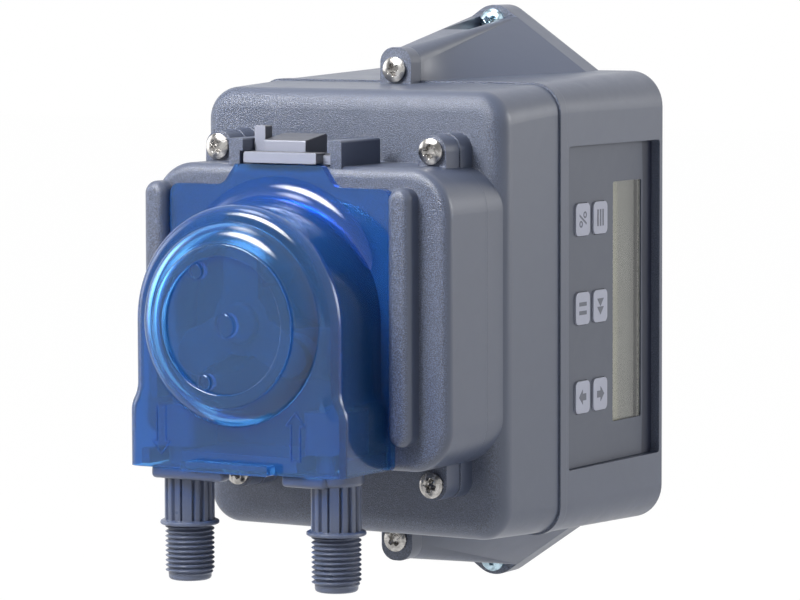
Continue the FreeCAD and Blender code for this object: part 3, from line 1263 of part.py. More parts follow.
def build_power():
    """Power supply board with transformer, capacitors and terminal block."""
    corners = rect(POWER_X_LOW, POWER_X_HIGH, POWER_Z_LOW, POWER_Z_HIGH, 1.0)
    board = slab(corners, POWER_Y - BOARD_T, POWER_Y)
    pegs = [rod(PEG_R + PEG_GAP, POWER_Y - 5, POWER_Y + 5, x, z) for x, z in POWER_PEGS]
    save("power_board", board.cut(pegs))
    face = POWER_Y - BOARD_T
    low_x = POWER_X_HIGH - TRANSFORMER_W - TRANSFORMER_FROM_EDGE
    high_x = low_x + TRANSFORMER_W
    low_z = POWER_Z_LOW + TRANSFORMER_RISE
    high_z = low_z + TRANSFORMER_H
    core = box(low_x, high_x, face - TRANSFORMER_D, face, low_z + COIL_INSET, high_z - COIL_INSET)
    coil_corners = rect(low_x + COIL_INSET, high_x - COIL_INSET, low_z, high_z, 3.0)
    coil = slab(coil_corners, face - TRANSFORMER_D + COIL_FRONT, face - COIL_BACK)
    save("transformer", core.fuse(coil))
    cans = []
    for index in range(2):
        z = POWER_Z_HIGH - CAPACITOR_R - CAPACITOR_FROM_TOP
        x = POWER_X_LOW + CAPACITOR_FROM_EDGE + index * (2 * CAPACITOR_R + CAPACITOR_GAP)
        can = rod(CAPACITOR_R, face - CAPACITOR_L, face, x, z)
        cans.append(can.makeFillet(0.8, edges_at(can, face - CAPACITOR_L)))
    save("capacitors", Part.makeCompound(cans))
    block_x = POWER_X_LOW + TERMINAL_FROM_EDGE
    block_z = POWER_Z_LOW + TERMINAL_RISE
    block = box(block_x, block_x + TERMINAL_W, face - TERMINAL_D, face, block_z, block_z + TERMINAL_H)
    pitch = TERMINAL_W / TERMINAL_WAYS
    holes = []
    for index in range(TERMINAL_WAYS):
        x = block_x + pitch * (index + 0.5)
        holes.append(rod(1.5, block_z - 1, block_z + TERMINAL_H * 0.6, x, face - 4, "Z"))
        holes.append(rod(1.6, face - TERMINAL_D - 1, face - TERMINAL_D + 4, x, block_z + TERMINAL_H / 2))
    save("terminal_block", block.cut(holes))


build_rear_casing()
build_gasket()
build_grommet()
build_front_casing()
build_screws()
build_head_housing()
build_latch()
build_cover()
build_tube()
build_connector("hose_connector_left", -1)
build_connector("hose_connector_right", 1)
build_rotor()
build_gear_train()
build_motor()
build_display()
build_power()
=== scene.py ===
"""Looks of a wall-hung peristaltic metering pump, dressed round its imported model.

Everything is in metres in the model's own frame: +X right, +Y into the wall, +Z up.
"""

from __future__ import annotations

import json
import logging
import math
from collections.abc import Callable, Iterable, Sequence
from dataclasses import dataclass, field
from enum import Enum
from functools import cache

import bmesh
import bpy
from mathutils import Matrix, Vector

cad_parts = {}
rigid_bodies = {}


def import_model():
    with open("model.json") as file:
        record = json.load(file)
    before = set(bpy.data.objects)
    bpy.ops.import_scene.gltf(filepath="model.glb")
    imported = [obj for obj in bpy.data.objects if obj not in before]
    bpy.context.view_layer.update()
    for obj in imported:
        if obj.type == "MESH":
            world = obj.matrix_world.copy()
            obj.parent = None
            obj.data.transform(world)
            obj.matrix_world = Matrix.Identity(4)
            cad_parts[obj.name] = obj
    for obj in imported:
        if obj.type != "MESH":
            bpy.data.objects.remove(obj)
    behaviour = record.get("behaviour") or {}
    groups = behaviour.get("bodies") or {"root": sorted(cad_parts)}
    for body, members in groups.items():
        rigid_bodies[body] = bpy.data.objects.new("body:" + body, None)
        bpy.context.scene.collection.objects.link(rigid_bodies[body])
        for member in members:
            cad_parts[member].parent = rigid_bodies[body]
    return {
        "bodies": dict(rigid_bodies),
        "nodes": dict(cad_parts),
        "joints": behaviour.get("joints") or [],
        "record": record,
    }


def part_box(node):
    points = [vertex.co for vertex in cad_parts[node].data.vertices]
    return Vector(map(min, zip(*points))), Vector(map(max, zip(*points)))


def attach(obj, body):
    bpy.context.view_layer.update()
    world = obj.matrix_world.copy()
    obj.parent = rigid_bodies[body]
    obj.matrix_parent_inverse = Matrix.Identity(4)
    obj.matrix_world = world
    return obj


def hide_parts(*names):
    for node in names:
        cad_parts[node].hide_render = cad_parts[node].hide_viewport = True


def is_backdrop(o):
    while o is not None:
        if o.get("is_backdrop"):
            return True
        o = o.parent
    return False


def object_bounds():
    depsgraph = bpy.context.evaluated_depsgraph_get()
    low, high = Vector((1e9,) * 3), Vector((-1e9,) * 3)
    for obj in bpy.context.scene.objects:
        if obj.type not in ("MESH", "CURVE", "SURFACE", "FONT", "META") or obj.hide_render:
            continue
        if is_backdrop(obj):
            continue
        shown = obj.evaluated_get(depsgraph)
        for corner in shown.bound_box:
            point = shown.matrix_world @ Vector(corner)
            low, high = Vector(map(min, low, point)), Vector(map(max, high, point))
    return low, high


LOG = logging.getLogger("metering_pump")
MM = 0.001
FULL_TURN = 2 * math.pi
QUARTER_TURN = math.pi / 2
WHITE = (1.0, 1.0, 1.0)

Color = tuple[float, float, float]
Outline = Sequence[tuple[float, float]]
Place = Callable[[float, float, float], Vector]
Radius = Callable[[float], float]
Ring = tuple[float, float | Radius]
Socket = bpy.types.NodeSocket
Sockets = bpy.types.bpy_prop_collection


class Body(Enum):
    """Bodies that the new pieces ride on."""

    PUMP = "pump_body"
    COVER = "cover"


def darker(color: Color, factor: float) -> Color:
    """Scale a colour by a factor."""
    return tuple(channel * factor for channel in color)


# Node trees


class NodeSheet:
    """Adds shader nodes to one node tree and links them."""

    COLUMN_WIDTH = 180.0

    def __init__(self, tree: bpy.types.NodeTree) -> None:
        """Keep the tree and start at its left edge.

        Args:
            tree: Node tree of a material, a world, a lamp or a group.
        """
        self.tree = tree
        self.column = 0

    def feed(self, target: Socket, source: object) -> None:
        """Link an output to an input socket, or give the input a plain value.

        Args:
            target: Input socket.
            source: Output socket, number, vector or colour without alpha.
        """
        if isinstance(source, Socket):
            self.tree.links.new(source, target)
        elif target.type == "RGBA":
            target.default_value = (*source, 1.0)
        else:
            target.default_value = source

    def add(self, kind: str, values: dict | None = None, **settings: object) -> bpy.types.Node:
        """Add one node.

        Args:
            kind: Blender's type name of the node.
            values: Sockets or plain values for its inputs, by name or number.
            settings: Attributes of the node itself.

        Returns:
            The new node.
        """
        node = self.tree.nodes.new(kind)
        node.location = (self.column * self.COLUMN_WIDTH, 0.0)
        self.column += 1
        for key, value in settings.items():
            setattr(node, key, value)
        for key, value in (values or {}).items():
            self.feed(node.inputs[key], value)
        return node

    def math(self, operation: str, *sources: object, clamp: bool = False) -> Socket:
        """Add a Math node.

        Args:
            operation: Blender's name of the operation.
            sources: Socket or number for each input.
            clamp: Whether the result is held between 0 and 1.

        Returns:
            The result socket.
        """
        values = dict(enumerate(sources))
        return self.add("ShaderNodeMath", values, operation=operation, use_clamp=clamp).outputs[0]

    def scaled(self, source: Socket, gain: float, offset: float = 0.0, clamp: bool = False) -> Socket:
        """Multiply a value by a gain and add an offset."""
        return self.math("MULTIPLY_ADD", source, gain, offset, clamp=clamp)

    def vector(self, operation: str, *sources: object) -> Sockets:
        """Add a Vector Math node and return its outputs."""
        return self.add("ShaderNodeVectorMath", dict(enumerate(sources)), operation=operation).outputs

    def blend(self, share: object, first: object, second: object) -> Socket:
        """Mix two colours.

        Args:
            share: Socket or number, 0 for the first colour and 1 for the second.
            first: Socket or colour.
            second: Socket or colour.

        Returns:
            The mixed colour socket.
        """
        values = {0: share, 6: first, 7: second}
        return self.add("ShaderNodeMix", values, data_type="RGBA").outputs[2]

    def toned(self, share: Socket, color: Color, low: float, high: float) -> Socket:
        """Let a colour vary between two factors of itself."""
        return self.blend(share, darker(color, low), darker(color, high))

    def noise(
        self,
        place: Socket,
        scale: object,
        detail: float = 2.0,
        roughness: float = 0.5,
        distortion: float = 0.0,
    ) -> Socket:
        """Add a noise texture.

        Args:
            place: Socket that says where the texture is read.
            scale: Socket or number, texture cells in a metre.
            detail: Finer layers on top of the first.
            roughness: Strength of each finer layer.
            distortion: How much the texture is bent.

        Returns:
            The value socket.
        """
        values = {
            "Vector": place,
            "Scale": scale,
            "Detail": detail,
            "Roughness": roughness,
            "Distortion": distortion,
        }
        return self.add("ShaderNodeTexNoise", values).outputs[0]

    def bump(self, height: Socket, distance: float, normal: Socket | None = None) -> Socket:
        """Add a Bump node at full strength.

        Args:
            height: Height socket.
            distance: Height in metres that stands for 1.
            normal: Normal socket to start from.

        Returns:
            The normal socket.
        """
        values = {"Height": height, "Strength": 1.0, "Distance": distance}
        if normal is not None:
            values["Normal"] = normal
        return self.add("ShaderNodeBump", values).outputs[0]


class MaterialSheet(NodeSheet):
    """Node sheet of a new material that starts with one Principled shader."""

    def __init__(self, name: str) -> None:
        """Make the material.

        Args:
            name: Name of the material.
        """
        self.material = bpy.data.materials.new(name)
        self.material.use_nodes = True
        self.material.node_tree.nodes.clear()
        super().__init__(self.material.node_tree)
        self.shader = self.add("ShaderNodeBsdfPrincipled")
        self.output = self.add("ShaderNodeOutputMaterial", {"Surface": self.shader.outputs[0]})

    def shade(self, values: dict[str, object]) -> None:
        """Set or link inputs of the Principled shader, by name."""
        for key, value in values.items():
            self.feed(self.shader.inputs[key], value)

    def lay_over(self, share: Socket, other: bpy.types.Node) -> None:
        """Mix another shader over the Principled shader."""
        mixed = self.add("ShaderNodeMixShader", {0: share, 1: self.shader.outputs[0], 2: other.outputs[0]})
        self.feed(self.output.inputs["Surface"], mixed.outputs[0])

    def group(self, tree: bpy.types.NodeTree, values: dict[str, float]) -> Sockets:
        """Place a shared group and return its outputs."""
        return self.add("ShaderNodeGroup", values, node_tree=tree).outputs

    def swing(self, pattern: Socket, middle: float, width: float) -> Socket:
        """Let a value follow a pattern across a width about its middle."""
        return self.scaled(pattern, gain=width, offset=middle - width / 2)

    def position(self) -> Socket:
        """Place on the piece in its own frame."""
        return self.add("ShaderNodeTexCoord").outputs["Object"]


def open_group(name: str, inputs: Sequence[str], outputs: Sequence[str]) -> tuple[NodeSheet, Sockets]:
    """Open a new node group.

    Args:
        name: Name of the group.
        inputs: Names of its inputs.
        outputs: Names of its outputs. One named Normal is a vector, every other one is a number.

    Returns:
        Its node sheet and the sockets that give its inputs.
    """
    tree = bpy.data.node_groups.new(name, "ShaderNodeTree")
    for way, sockets in (("INPUT", inputs), ("OUTPUT", outputs)):
        for socket in sockets:
            kind = "NodeSocketVector" if socket == "Normal" else "NodeSocketFloat"
            tree.interface.new_socket(name=socket, in_out=way, socket_type=kind)
    sheet = NodeSheet(tree)
    return sheet, sheet.add("NodeGroupInput").outputs


@cache
def mould_grain() -> bpy.types.NodeTree:
    """Spark-eroded grain of the mould: coarse where a face looks forward, fine elsewhere.

    Returns:
        The node group.
    """
    sheet, given = open_group(
        "mould_grain", ("Pitch", "Front Depth", "Side Depth"), ("Height", "Speckle", "Front")
    )
    place = sheet.add("ShaderNodeTexCoord").outputs
    facing = sheet.add("ShaderNodeSeparateXYZ", {0: place["Normal"]})
    front = sheet.scaled(facing.outputs["Y"], gain=-3.0, offset=-1.7, clamp=True)
    scale = sheet.math("DIVIDE", 1.0, given["Pitch"])
    coarse = sheet.noise(place["Object"], scale, detail=1.5, roughness=0.55)
    fine = sheet.noise(place["Object"], sheet.scaled(scale, gain=1.9), detail=1.0)
    high = sheet.math("MULTIPLY", coarse, given["Front Depth"])
    low = sheet.math("MULTIPLY", fine, given["Side Depth"])
    kept = sheet.math("MULTIPLY", high, front)
    rest = sheet.math("MULTIPLY", low, sheet.math("SUBTRACT", 1.0, front))
    # Mask of the grain's tips, where painted glints go on forward faces.
    glint_speckle = sheet.scaled(coarse, gain=4.0, offset=-1.68, clamp=True)
    height = sheet.math("ADD", kept, rest)
    sheet.add("NodeGroupOutput", {"Height": height, "Speckle": glint_speckle, "Front": front})
    return sheet.tree


@cache
def soft_edge() -> bpy.types.NodeTree:
    """Rounds sharp edges in the shading and puts out a mask of where they are.

    Returns:
        The node group.
    """
    sheet, given = open_group("soft_edge", ("Radius",), ("Normal", "Edge"))
    bevel = sheet.add("ShaderNodeBevel", {"Radius": given["Radius"]}, samples=4).outputs[0]
    shape = sheet.add("ShaderNodeNewGeometry")
    same = sheet.vector("DOT_PRODUCT", bevel, shape.outputs["Normal"])["Value"]
    edge = sheet.scaled(sheet.math("SUBTRACT", 1.0, same), gain=6.0, clamp=True)
    sheet.add("NodeGroupOutput", {"Normal": bevel, "Edge": edge})
    return sheet.tree


@cache
def handling() -> bpy.types.NodeTree:
    """Large soft patches where hands and dust have changed the surface.

    Returns:
        The node group.
    """
    sheet, given = open_group("handling", ("Size",), ("Patch", "Smear"))
    place = sheet.add("ShaderNodeTexCoord").outputs["Object"]
    scale = sheet.math("DIVIDE", 1.0, given["Size"])
    patch = sheet.noise(place, scale, detail=3.0)
    smear = sheet.noise(place, sheet.scaled(scale, gain=3.1), detail=4.0, distortion=1.2)
    sheet.add("NodeGroupOutput", {"Patch": patch, "Smear": smear})
    return sheet.tree


@cache
def turning_marks() -> bpy.types.NodeTree:
    """Fine rings and scratches that machining leaves on metal.

    Returns:
        The node group.
    """
    sheet, given = open_group("turning_marks", ("Pitch",), ("Height", "Tone"))
    place = sheet.add("ShaderNodeTexCoord").outputs["Object"]
    stretched = sheet.vector("MULTIPLY", place, (1.0, 9.0, 1.0))[0]
    lines = sheet.noise(stretched, sheet.math("DIVIDE", 1.0, given["Pitch"]), detail=3.0)
    broad = sheet.noise(place, 420.0, detail=2.5, distortion=0.6)
    tone = sheet.scaled(broad, gain=4.2, offset=-1.512, clamp=True)
    sheet.add("NodeGroupOutput", {"Height": lines, "Tone": tone})
    return sheet.tree


# Finishes


@dataclass(frozen=True)
class Look:
    """Material that is made of one Principled shader.

    Attributes:
        name: Material name.
        color: Colour, linear.
        roughness: Roughness of the plain face.
    """

    PATCH_SIZE = 30.0 * MM

    name: str
    color: Color
    roughness: float

    def build(self) -> bpy.types.Material:
        """Make the material.

        Returns:
            The material.
        """
        sheet = MaterialSheet(self.name)
        sheet.shade(self.inputs(sheet))
        return sheet.material

    def inputs(self, sheet: MaterialSheet) -> dict[str, object]:
        """Add nodes for the shader's inputs; each finish has its own."""
        raise NotImplementedError

    def hands(self, sheet: MaterialSheet) -> Sockets:
        """Place the patches that handling leaves and return their outputs."""
        return sheet.group(handling(), {"Size": self.PATCH_SIZE})


@dataclass(frozen=True)
class MouldedPlastic(Look):
    """Opaque moulded plastic with the grain of its mould, and painted sheen, glints, pit shade and edge
    highlights in its colour.

    Attributes:
        front_depth: Grain height on faces that look forward.
        side_depth: Grain height on all other faces.
        glint_speckle: How strongly the grain's tips are painted with glints and its pits with painted shade,
            from 0 to 1.
        edge_radius: Radius that softens sharp edges.
        specular: Specular level.
        painted_front_sheen: Factor of a painted sheen that lightens the faces that look forward.
    """

    GRAIN_PITCH = 0.27 * MM
    # Colour factors of the painted shade in the grain's pits and the painted glints on its tips.
    PIT_SHADE_TONE = 0.35
    TIP_GLINT_TONE = 2.5
    # Colour factor and share of the painted highlight along sharp edges.
    EDGE_HIGHLIGHT_TONE = 1.9
    EDGE_HIGHLIGHT_SHARE = 0.22

    front_depth: float = 0.01 * MM
    side_depth: float = 0.01 * MM
    glint_speckle: float = 0.03
    edge_radius: float = 0.3 * MM
    specular: float = 0.5
    painted_front_sheen: float = 1.0

    def inputs(self, sheet: MaterialSheet) -> dict[str, object]:
        """Add nodes for the shader's inputs.

        Args:
            sheet: Node sheet of the material.

        Returns:
            What goes into each input, by its name.
        """
        sizes = {"Pitch": self.GRAIN_PITCH, "Front Depth": self.front_depth, "Side Depth": self.side_depth}
        grain = sheet.group(mould_grain(), sizes)
        edge = sheet.group(soft_edge(), {"Radius": self.edge_radius})
        hands = self.hands(sheet)
        plain = sheet.toned(hands["Patch"], self.color, low=0.94, high=1.06)
        # Painted sheen: faces that look forward are painted lighter, for the light in front of them.
        if self.painted_front_sheen != 1.0:
            plain = sheet.blend(grain["Front"], plain, darker(self.color, self.painted_front_sheen))
        # Painted sparkle: painted shade in the grain's pits and painted glints on its tips.
        amount = sheet.scaled(grain["Front"], gain=self.glint_speckle, clamp=True)
        pits = sheet.blend(amount, plain, darker(self.color, self.PIT_SHADE_TONE))
        tips = sheet.blend(amount, plain, darker(self.color, self.TIP_GLINT_TONE))
        painted_sparkle = sheet.blend(grain["Speckle"], pits, tips)
        # Painted highlight: sharp edges are painted lighter.
        edge_highlight = sheet.scaled(edge["Edge"], gain=self.EDGE_HIGHLIGHT_SHARE)
        return {
            "Base Color": sheet.blend(edge_highlight, painted_sparkle, darker(self.color, self.EDGE_HIGHLIGHT_TONE)),
            "Roughness": sheet.swing(hands["Smear"], self.roughness, width=0.14),
            "Specular IOR Level": self.specular,
            "Normal": sheet.bump(grain["Height"], 1.0, edge["Normal"]),
        }


@dataclass(frozen=True)
class TintedClear(Look):
    """Clear tinted plastic that light shines through.

    Attributes:
        shade: Tint of the light that falls through a wall.
        clear: Share of the light that goes through instead of scattering.
    """

    IOR = 1.49
    PATCH_SIZE = 20.0 * MM

    shade: Color = WHITE
    clear: float = 1.0

    def inputs(self, sheet: MaterialSheet) -> dict[str, object]:
        """Add nodes for the shader's inputs.

        Args:
            sheet: Node sheet of the material.

        Returns:
            What goes into each input, by its name.
        """
        path = sheet.add("ShaderNodeLightPath")
        through = sheet.add("ShaderNodeBsdfTransparent", {"Color": self.shade})
        sheet.lay_over(path.outputs["Is Shadow Ray"], through)
        hands = self.hands(sheet)
        return {
            "Base Color": sheet.toned(hands["Patch"], self.color, low=0.9, high=1.1),
            "Roughness": sheet.scaled(hands["Smear"], gain=0.05, offset=self.roughness),
            "IOR": self.IOR,
            "Transmission Weight": self.clear,
        }


@dataclass(frozen=True)
class Metal(Look):
    """Bare or plated metal with machining marks.

    Attributes:
        marks: Height of the machining marks.
        streak: How dark the tarnished streaks are, from 0 to 1.
    """

    MARK_PITCH = 2.0 * MM
    EDGE_RADIUS = 0.2 * MM

    marks: float = 0.004 * MM
    streak: float = 0.14

    def inputs(self, sheet: MaterialSheet) -> dict[str, object]:
        """Add nodes for the shader's inputs.

        Args:
            sheet: Node sheet of the material.

        Returns:
            What goes into each input, by its name.
        """
        marks = sheet.group(turning_marks(), {"Pitch": self.MARK_PITCH})
        edge = sheet.group(soft_edge(), {"Radius": self.EDGE_RADIUS})
        return {
            "Base Color": sheet.toned(marks["Tone"], self.color, low=1.0 - self.streak, high=1.0),
            "Metallic": 1.0,
            "Roughness": sheet.swing(marks["Tone"], self.roughness, width=0.16),
            "Normal": sheet.bump(marks["Height"], self.marks, edge["Normal"]),
        }


@dataclass(frozen=True)
class PrintedSheet(Look):
    """Smooth printed or laminated face, such as a film, a key or a display.

    Attributes:
        coat: Weight of the clear layer.
        painted_shade_color: Colour of a painted shade towards +Y, or None for one colour all over.
        shade_from: Y at which the painted shade starts.
        shade_to: Y from which it is full.
    """

    PATCH_SIZE = 25.0 * MM
    WEAVE_DEPTH = 0.006 * MM
    WEAVE_SCALE = 3800.0
    WAVE_SCALE = 45.0
    WAVE_WIDTH = 1.6 * MM

    coat: float = 0.0
    painted_shade_color: Color | None = None
    shade_from: float = 0.0
    shade_to: float = 0.0

    def inputs(self, sheet: MaterialSheet) -> dict[str, object]:
        """Add nodes for the shader's inputs.

        Args:
            sheet: Node sheet of the material.

        Returns:
            What goes into each input, by its name.
        """
        hands = self.hands(sheet)
        place = sheet.position()
        tone = sheet.toned(hands["Patch"], self.color, low=0.93, high=1.06)
        # Painted shade: the face darkens towards +Y, where a recess wall shades it.
        if self.painted_shade_color is not None:
            tone = sheet.blend(self.shade_share(sheet, place), tone, self.painted_shade_color)
        return {
            "Base Color": tone,
            "Roughness": sheet.swing(hands["Smear"], self.roughness, width=0.12),
            "Coat Weight": self.coat,
            "Normal": sheet.bump(sheet.noise(place, self.WEAVE_SCALE), self.WEAVE_DEPTH),
        }

    def shade_share(self, sheet: MaterialSheet, place: Socket) -> Socket:
        """Share of the painted shade, with a slightly wavy edge.

        Args:
            sheet: Node sheet of the material.
            place: Its place on the piece.

        Returns:
            Socket that runs from 0 to 1 towards +Y.
        """
        split = sheet.add("ShaderNodeSeparateXYZ", {0: place})
        wave = sheet.swing(sheet.noise(place, self.WAVE_SCALE, detail=0.0), 0.0, width=self.WAVE_WIDTH)
        level = sheet.math("ADD", split.outputs["Y"], wave)
        values = {"Value": level, "From Min": self.shade_from, "From Max": self.shade_to}
        return sheet.add("ShaderNodeMapRange", values, interpolation_type="SMOOTHSTEP").outputs[0]


@dataclass(frozen=True)
class Rubber(Look):
    """Matt elastomer with a faint bloom.

    Attributes:
        through: Share of light that the rubber lets in below its surface.
    """

    PATCH_SIZE = 12.0 * MM
    SKIN_DEPTH = 0.03 * MM
    SKIN_SCALE = 1600.0
    LIGHT_DEPTH = 2.0 * MM

    through: float = 0.0

    def inputs(self, sheet: MaterialSheet) -> dict[str, object]:
        """Add nodes for the shader's inputs.

        Args:
            sheet: Node sheet of the material.

        Returns:
            What goes into each input, by its name.
        """
        hands = self.hands(sheet)
        return {
            "Base Color": sheet.toned(hands["Patch"], self.color, low=1.0, high=1.35),
            "Roughness": sheet.swing(hands["Smear"], self.roughness, width=0.1),
            "Subsurface Weight": self.through,
            "Subsurface Scale": self.LIGHT_DEPTH,
            "Normal": sheet.bump(sheet.noise(sheet.position(), self.SKIN_SCALE), self.SKIN_DEPTH),
        }


class Finish(Enum):
    """Every finish on the pump."""

    # Moulded finishes carry painted glints and pit shade in their grain, and painted highlights on sharp
    # edges.
    CASING = MouldedPlastic(
        "casing_plastic", (0.042, 0.054, 0.090), 0.38, front_depth=0.22 * MM, glint_speckle=0.6, specular=0.75
    )
    HEAD = MouldedPlastic(
        "head_plastic", (0.041, 0.053, 0.090), 0.36, front_depth=0.20 * MM, glint_speckle=0.75, specular=0.75
    )
    CONNECTOR = MouldedPlastic("connector_plastic", (0.066, 0.080, 0.125), 0.30)
    LATCH = MouldedPlastic(
        "latch_plastic",
        (0.050, 0.053, 0.067),
        0.32,
        front_depth=0.006 * MM,
        side_depth=0.006 * MM,
        edge_radius=0.5 * MM,
        specular=0.8,
        # Painted sheen that lightens the latch's forward faces.
        painted_front_sheen=4.0,
    )
    COVER = TintedClear(
        "cover_blue_clear", (0.072, 0.270, 0.59), 0.06, shade=(0.34, 0.58, 0.88), clear=0.92
    )
    WINDOW = TintedClear("display_window_clear", (0.93, 0.93, 0.88), 0.03, shade=(0.93, 0.93, 0.88))
    SCREW = Metal("screw_nickel", (0.50, 0.485, 0.47), 0.2, marks=0.01 * MM, streak=0.45)
    ZINC = Metal("screw_zinc", (0.50, 0.66, 0.76), 0.24, marks=0.02 * MM, streak=0.55)
    STEEL = Metal("machined_steel", (0.50, 0.50, 0.52), 0.32)
    PIN = Metal("blackened_steel", (0.09, 0.09, 0.10), 0.42)
    BRASS = Metal("machined_brass", (0.66, 0.47, 0.18), 0.28)
    PLATED = Metal("zinc_plated_steel", (0.42, 0.43, 0.45), 0.38)
    RUBBER = Rubber("black_rubber", (0.02, 0.02, 0.022), 0.7)
    TUBE = Rubber("tube_elastomer", (0.16, 0.15, 0.13), 0.55, through=0.2)
    FILM = PrintedSheet(
        "panel_film",
        (0.049, 0.058, 0.086),
        0.44,
        # Painted shade along the film's edge towards +Y, where the recess wall shades it.
        painted_shade_color=(0.009, 0.013, 0.031),
        shade_from=-7.8 * MM,
        shade_to=-7.0 * MM,
    )
    KEY = PrintedSheet("key_print", (0.29, 0.305, 0.38), 0.42)
    MARK = PrintedSheet("key_mark", (0.078, 0.086, 0.115), 0.45)
    DISPLAY = PrintedSheet(
        "display_face",
        (0.15, 0.148, 0.105),
        0.4,
        # Painted shade over the display's part towards +Y, where the window's edge shades it.
        painted_shade_color=(0.040, 0.045, 0.047),
        shade_from=-19.5 * MM,
        shade_to=-16.5 * MM,
    )
    BOARD = PrintedSheet("circuit_board", (0.02, 0.13, 0.05), 0.3, coat=0.4)
    COMPONENT = PrintedSheet("moulded_component", (0.025, 0.025, 0.028), 0.45)
    TERMINAL = PrintedSheet("terminal_block_green", (0.03, 0.22, 0.09), 0.4)
    NYLON = MouldedPlastic("roller_nylon", (0.035, 0.037, 0.042), 0.45, glint_speckle=0.05)
    ROTOR = MouldedPlastic("rotor_plastic", (0.028, 0.030, 0.036), 0.42, front_depth=0.02 * MM, glint_speckle=0.1)


class Paint:
    """Builds each finish once and puts it on pieces and model nodes."""

    def __init__(self, frame: dict) -> None:
        """Keep the model's node objects and mounts.

        Args:
            frame: The loaded frame.
        """
        self.nodes = frame["nodes"]
        self.mounts = {mount["name"]: mount for mount in frame["record"]["mounts"]}
        self.made: dict[Finish, bpy.types.Material] = {}

    def material(self, finish: Finish) -> bpy.types.Material:
        """Make the material of a finish on first use.

        Args:
            finish: The finish.

        Returns:
            Its material.
        """
        if finish not in self.made:
            self.made[finish] = finish.value.build()
        return self.made[finish]

    def node(self, name: str, finish: Finish) -> None:
        """Give a model node a finish in all its material slots.

        Args:
            name: Name of the node.
            finish: Finish that it gets.
        """
        for slot in self.nodes[name].material_slots:
            slot.material = self.material(finish)
        LOG.info("node %s: %s", name, finish.name.lower())

    def piece(self, obj: bpy.types.Object, finish: Finish, body: str, slot: str) -> None:
        """Dress a new piece and let it ride on its body.

        Args:
            obj: The new piece.
            finish: Finish that it gets.
            body: Name of the body that carries it.
            slot: Material slot of the record; not used.
        """
        obj.data.materials.clear()
        obj.data.materials.append(self.material(finish))
        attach(obj, body)
        LOG.info("piece %s on %s: %s", obj.name, body, finish.name.lower())


# Forms


class Shape:
    """Collects closed forms and turns them into one mesh object."""

    def __init__(self, name: str) -> None:
        """Start an empty shape.

        Args:
            name: Name of the piece.
        """
        self.name = name
        self.mesh = bmesh.new()

    def loop(self, points: Iterable[Vector]) -> list[bmesh.types.BMVert]:
        """Add one loop of corners."""
        return [self.mesh.verts.new(point) for point in points]

    def skin(self, loops: Sequence[list[bmesh.types.BMVert]]) -> None:
        """Join each loop to the next one with faces.

        Args:
            loops: Loops with as many corners each.
        """
        for low, high in zip(loops, loops[1:]):
            for index in range(len(low)):
                after = (index + 1) % len(low)
                self.mesh.faces.new((low[index], high[index], high[after], low[after]))

    def turned(self, rings: Sequence[Ring], columns: int, place: Place) -> None:
        """Add a closed form made of rings round an axis, with a point at each end.

        Args:
            rings: Height along the axis and radius, or a function of the angle that gives it.
            columns: Corners of each ring.
            place: Gives the point for an angle, a radius and a height.
        """
        angles = [FULL_TURN * index / columns for index in range(columns)]
        rows = []
        for height, radius in rings[1:-1]:
            sizes = [radius(angle) if callable(radius) else radius for angle in angles]
            rows.append(self.loop(place(angle, size, height) for angle, size in zip(angles, sizes)))
        self.skin(rows)
        for height, row in ((rings[0][0], rows[0]), (rings[-1][0], rows[-1])):
            tip = self.mesh.verts.new(place(0.0, 0.0, height))
            for index, corner in enumerate(row):
                self.mesh.faces.new((tip, row[index - 1], corner))

    def closed(self, sections: Sequence[Sequence[Vector]]) -> None:
        """Add a closed form through sections, with a flat face at each end.

        Args:
            sections: Sections with as many corners each.
        """
        loops = [self.loop(section) for section in sections]
        self.skin(loops)
        self.mesh.faces.new(loops[0])
        self.mesh.faces.new(loops[-1])

    def plate(self, outline: Outline, place: Place, low: float, high: float) -> None:
        """Add a closed plate with a flat outline.

        Args:
            outline: Corners in the plate's own plane.
            place: Gives the point for two plane coordinates and a level.
            low: First level.
            high: Second level.
        """
        self.closed([[place(a, b, level) for a, b in outline] for level in (low, high)])

    def band(self, outer: Outline, inner: Outline, place: Place, low: float, high: float) -> None:
        """Add a closed frame between two outlines with as many corners each.

        Args:
            outer: Corners of the outer outline.
            inner: Corners of the inner outline.
            place: Gives the point for two plane coordinates and a level.
            low: First level.
            high: Second level.
        """
        edges = ((outer, low), (outer, high), (inner, high), (inner, low))
        loops = [self.loop(place(a, b, level) for a, b in outline) for outline, level in edges]
        self.skin([*loops, loops[0]])

    def block(self, low: Vector, high: Vector, radius: float, segments: int) -> None:
        """Add a box with rounded edges.

        Args:
            low: Lowest corner.
            high: Highest corner.
            radius: Radius of its edges.
            segments: Faces across each rounded edge.
        """
        corners = bmesh.ops.create_cube(self.mesh, size=1.0)["verts"]
        size = high - low
        middle = (high + low) / 2
        for corner in corners:
            corner.co = Vector([corner.co[i] * size[i] + middle[i] for i in range(3)])
        edges = list({edge for corner in corners for edge in corner.link_edges})
        bmesh.ops.bevel(
            self.mesh,
            geom=edges,
            offset=radius,
            segments=segments,
            profile=0.5,
            affect="EDGES",
            clamp_overlap=True,
        )

    def finished(self, smooth_angle: float = 35.0) -> bpy.types.Object:
        """Turn the shape into a mesh object, smooth but for its sharp edges.

        Args:
            smooth_angle: Edges that turn by more degrees stay sharp.

        Returns:
            The object, linked to the scene.
        """
        bmesh.ops.recalc_face_normals(self.mesh, faces=self.mesh.faces)
        data = bpy.data.meshes.new(self.name)
        self.mesh.to_mesh(data)
        self.mesh.free()
        data.polygons.foreach_set("use_smooth", [True] * len(data.polygons))
        data.set_sharp_from_angle(angle=math.radians(smooth_angle))
        obj = bpy.data.objects.new(self.name, data)
        bpy.context.scene.collection.objects.link(obj)
        return obj


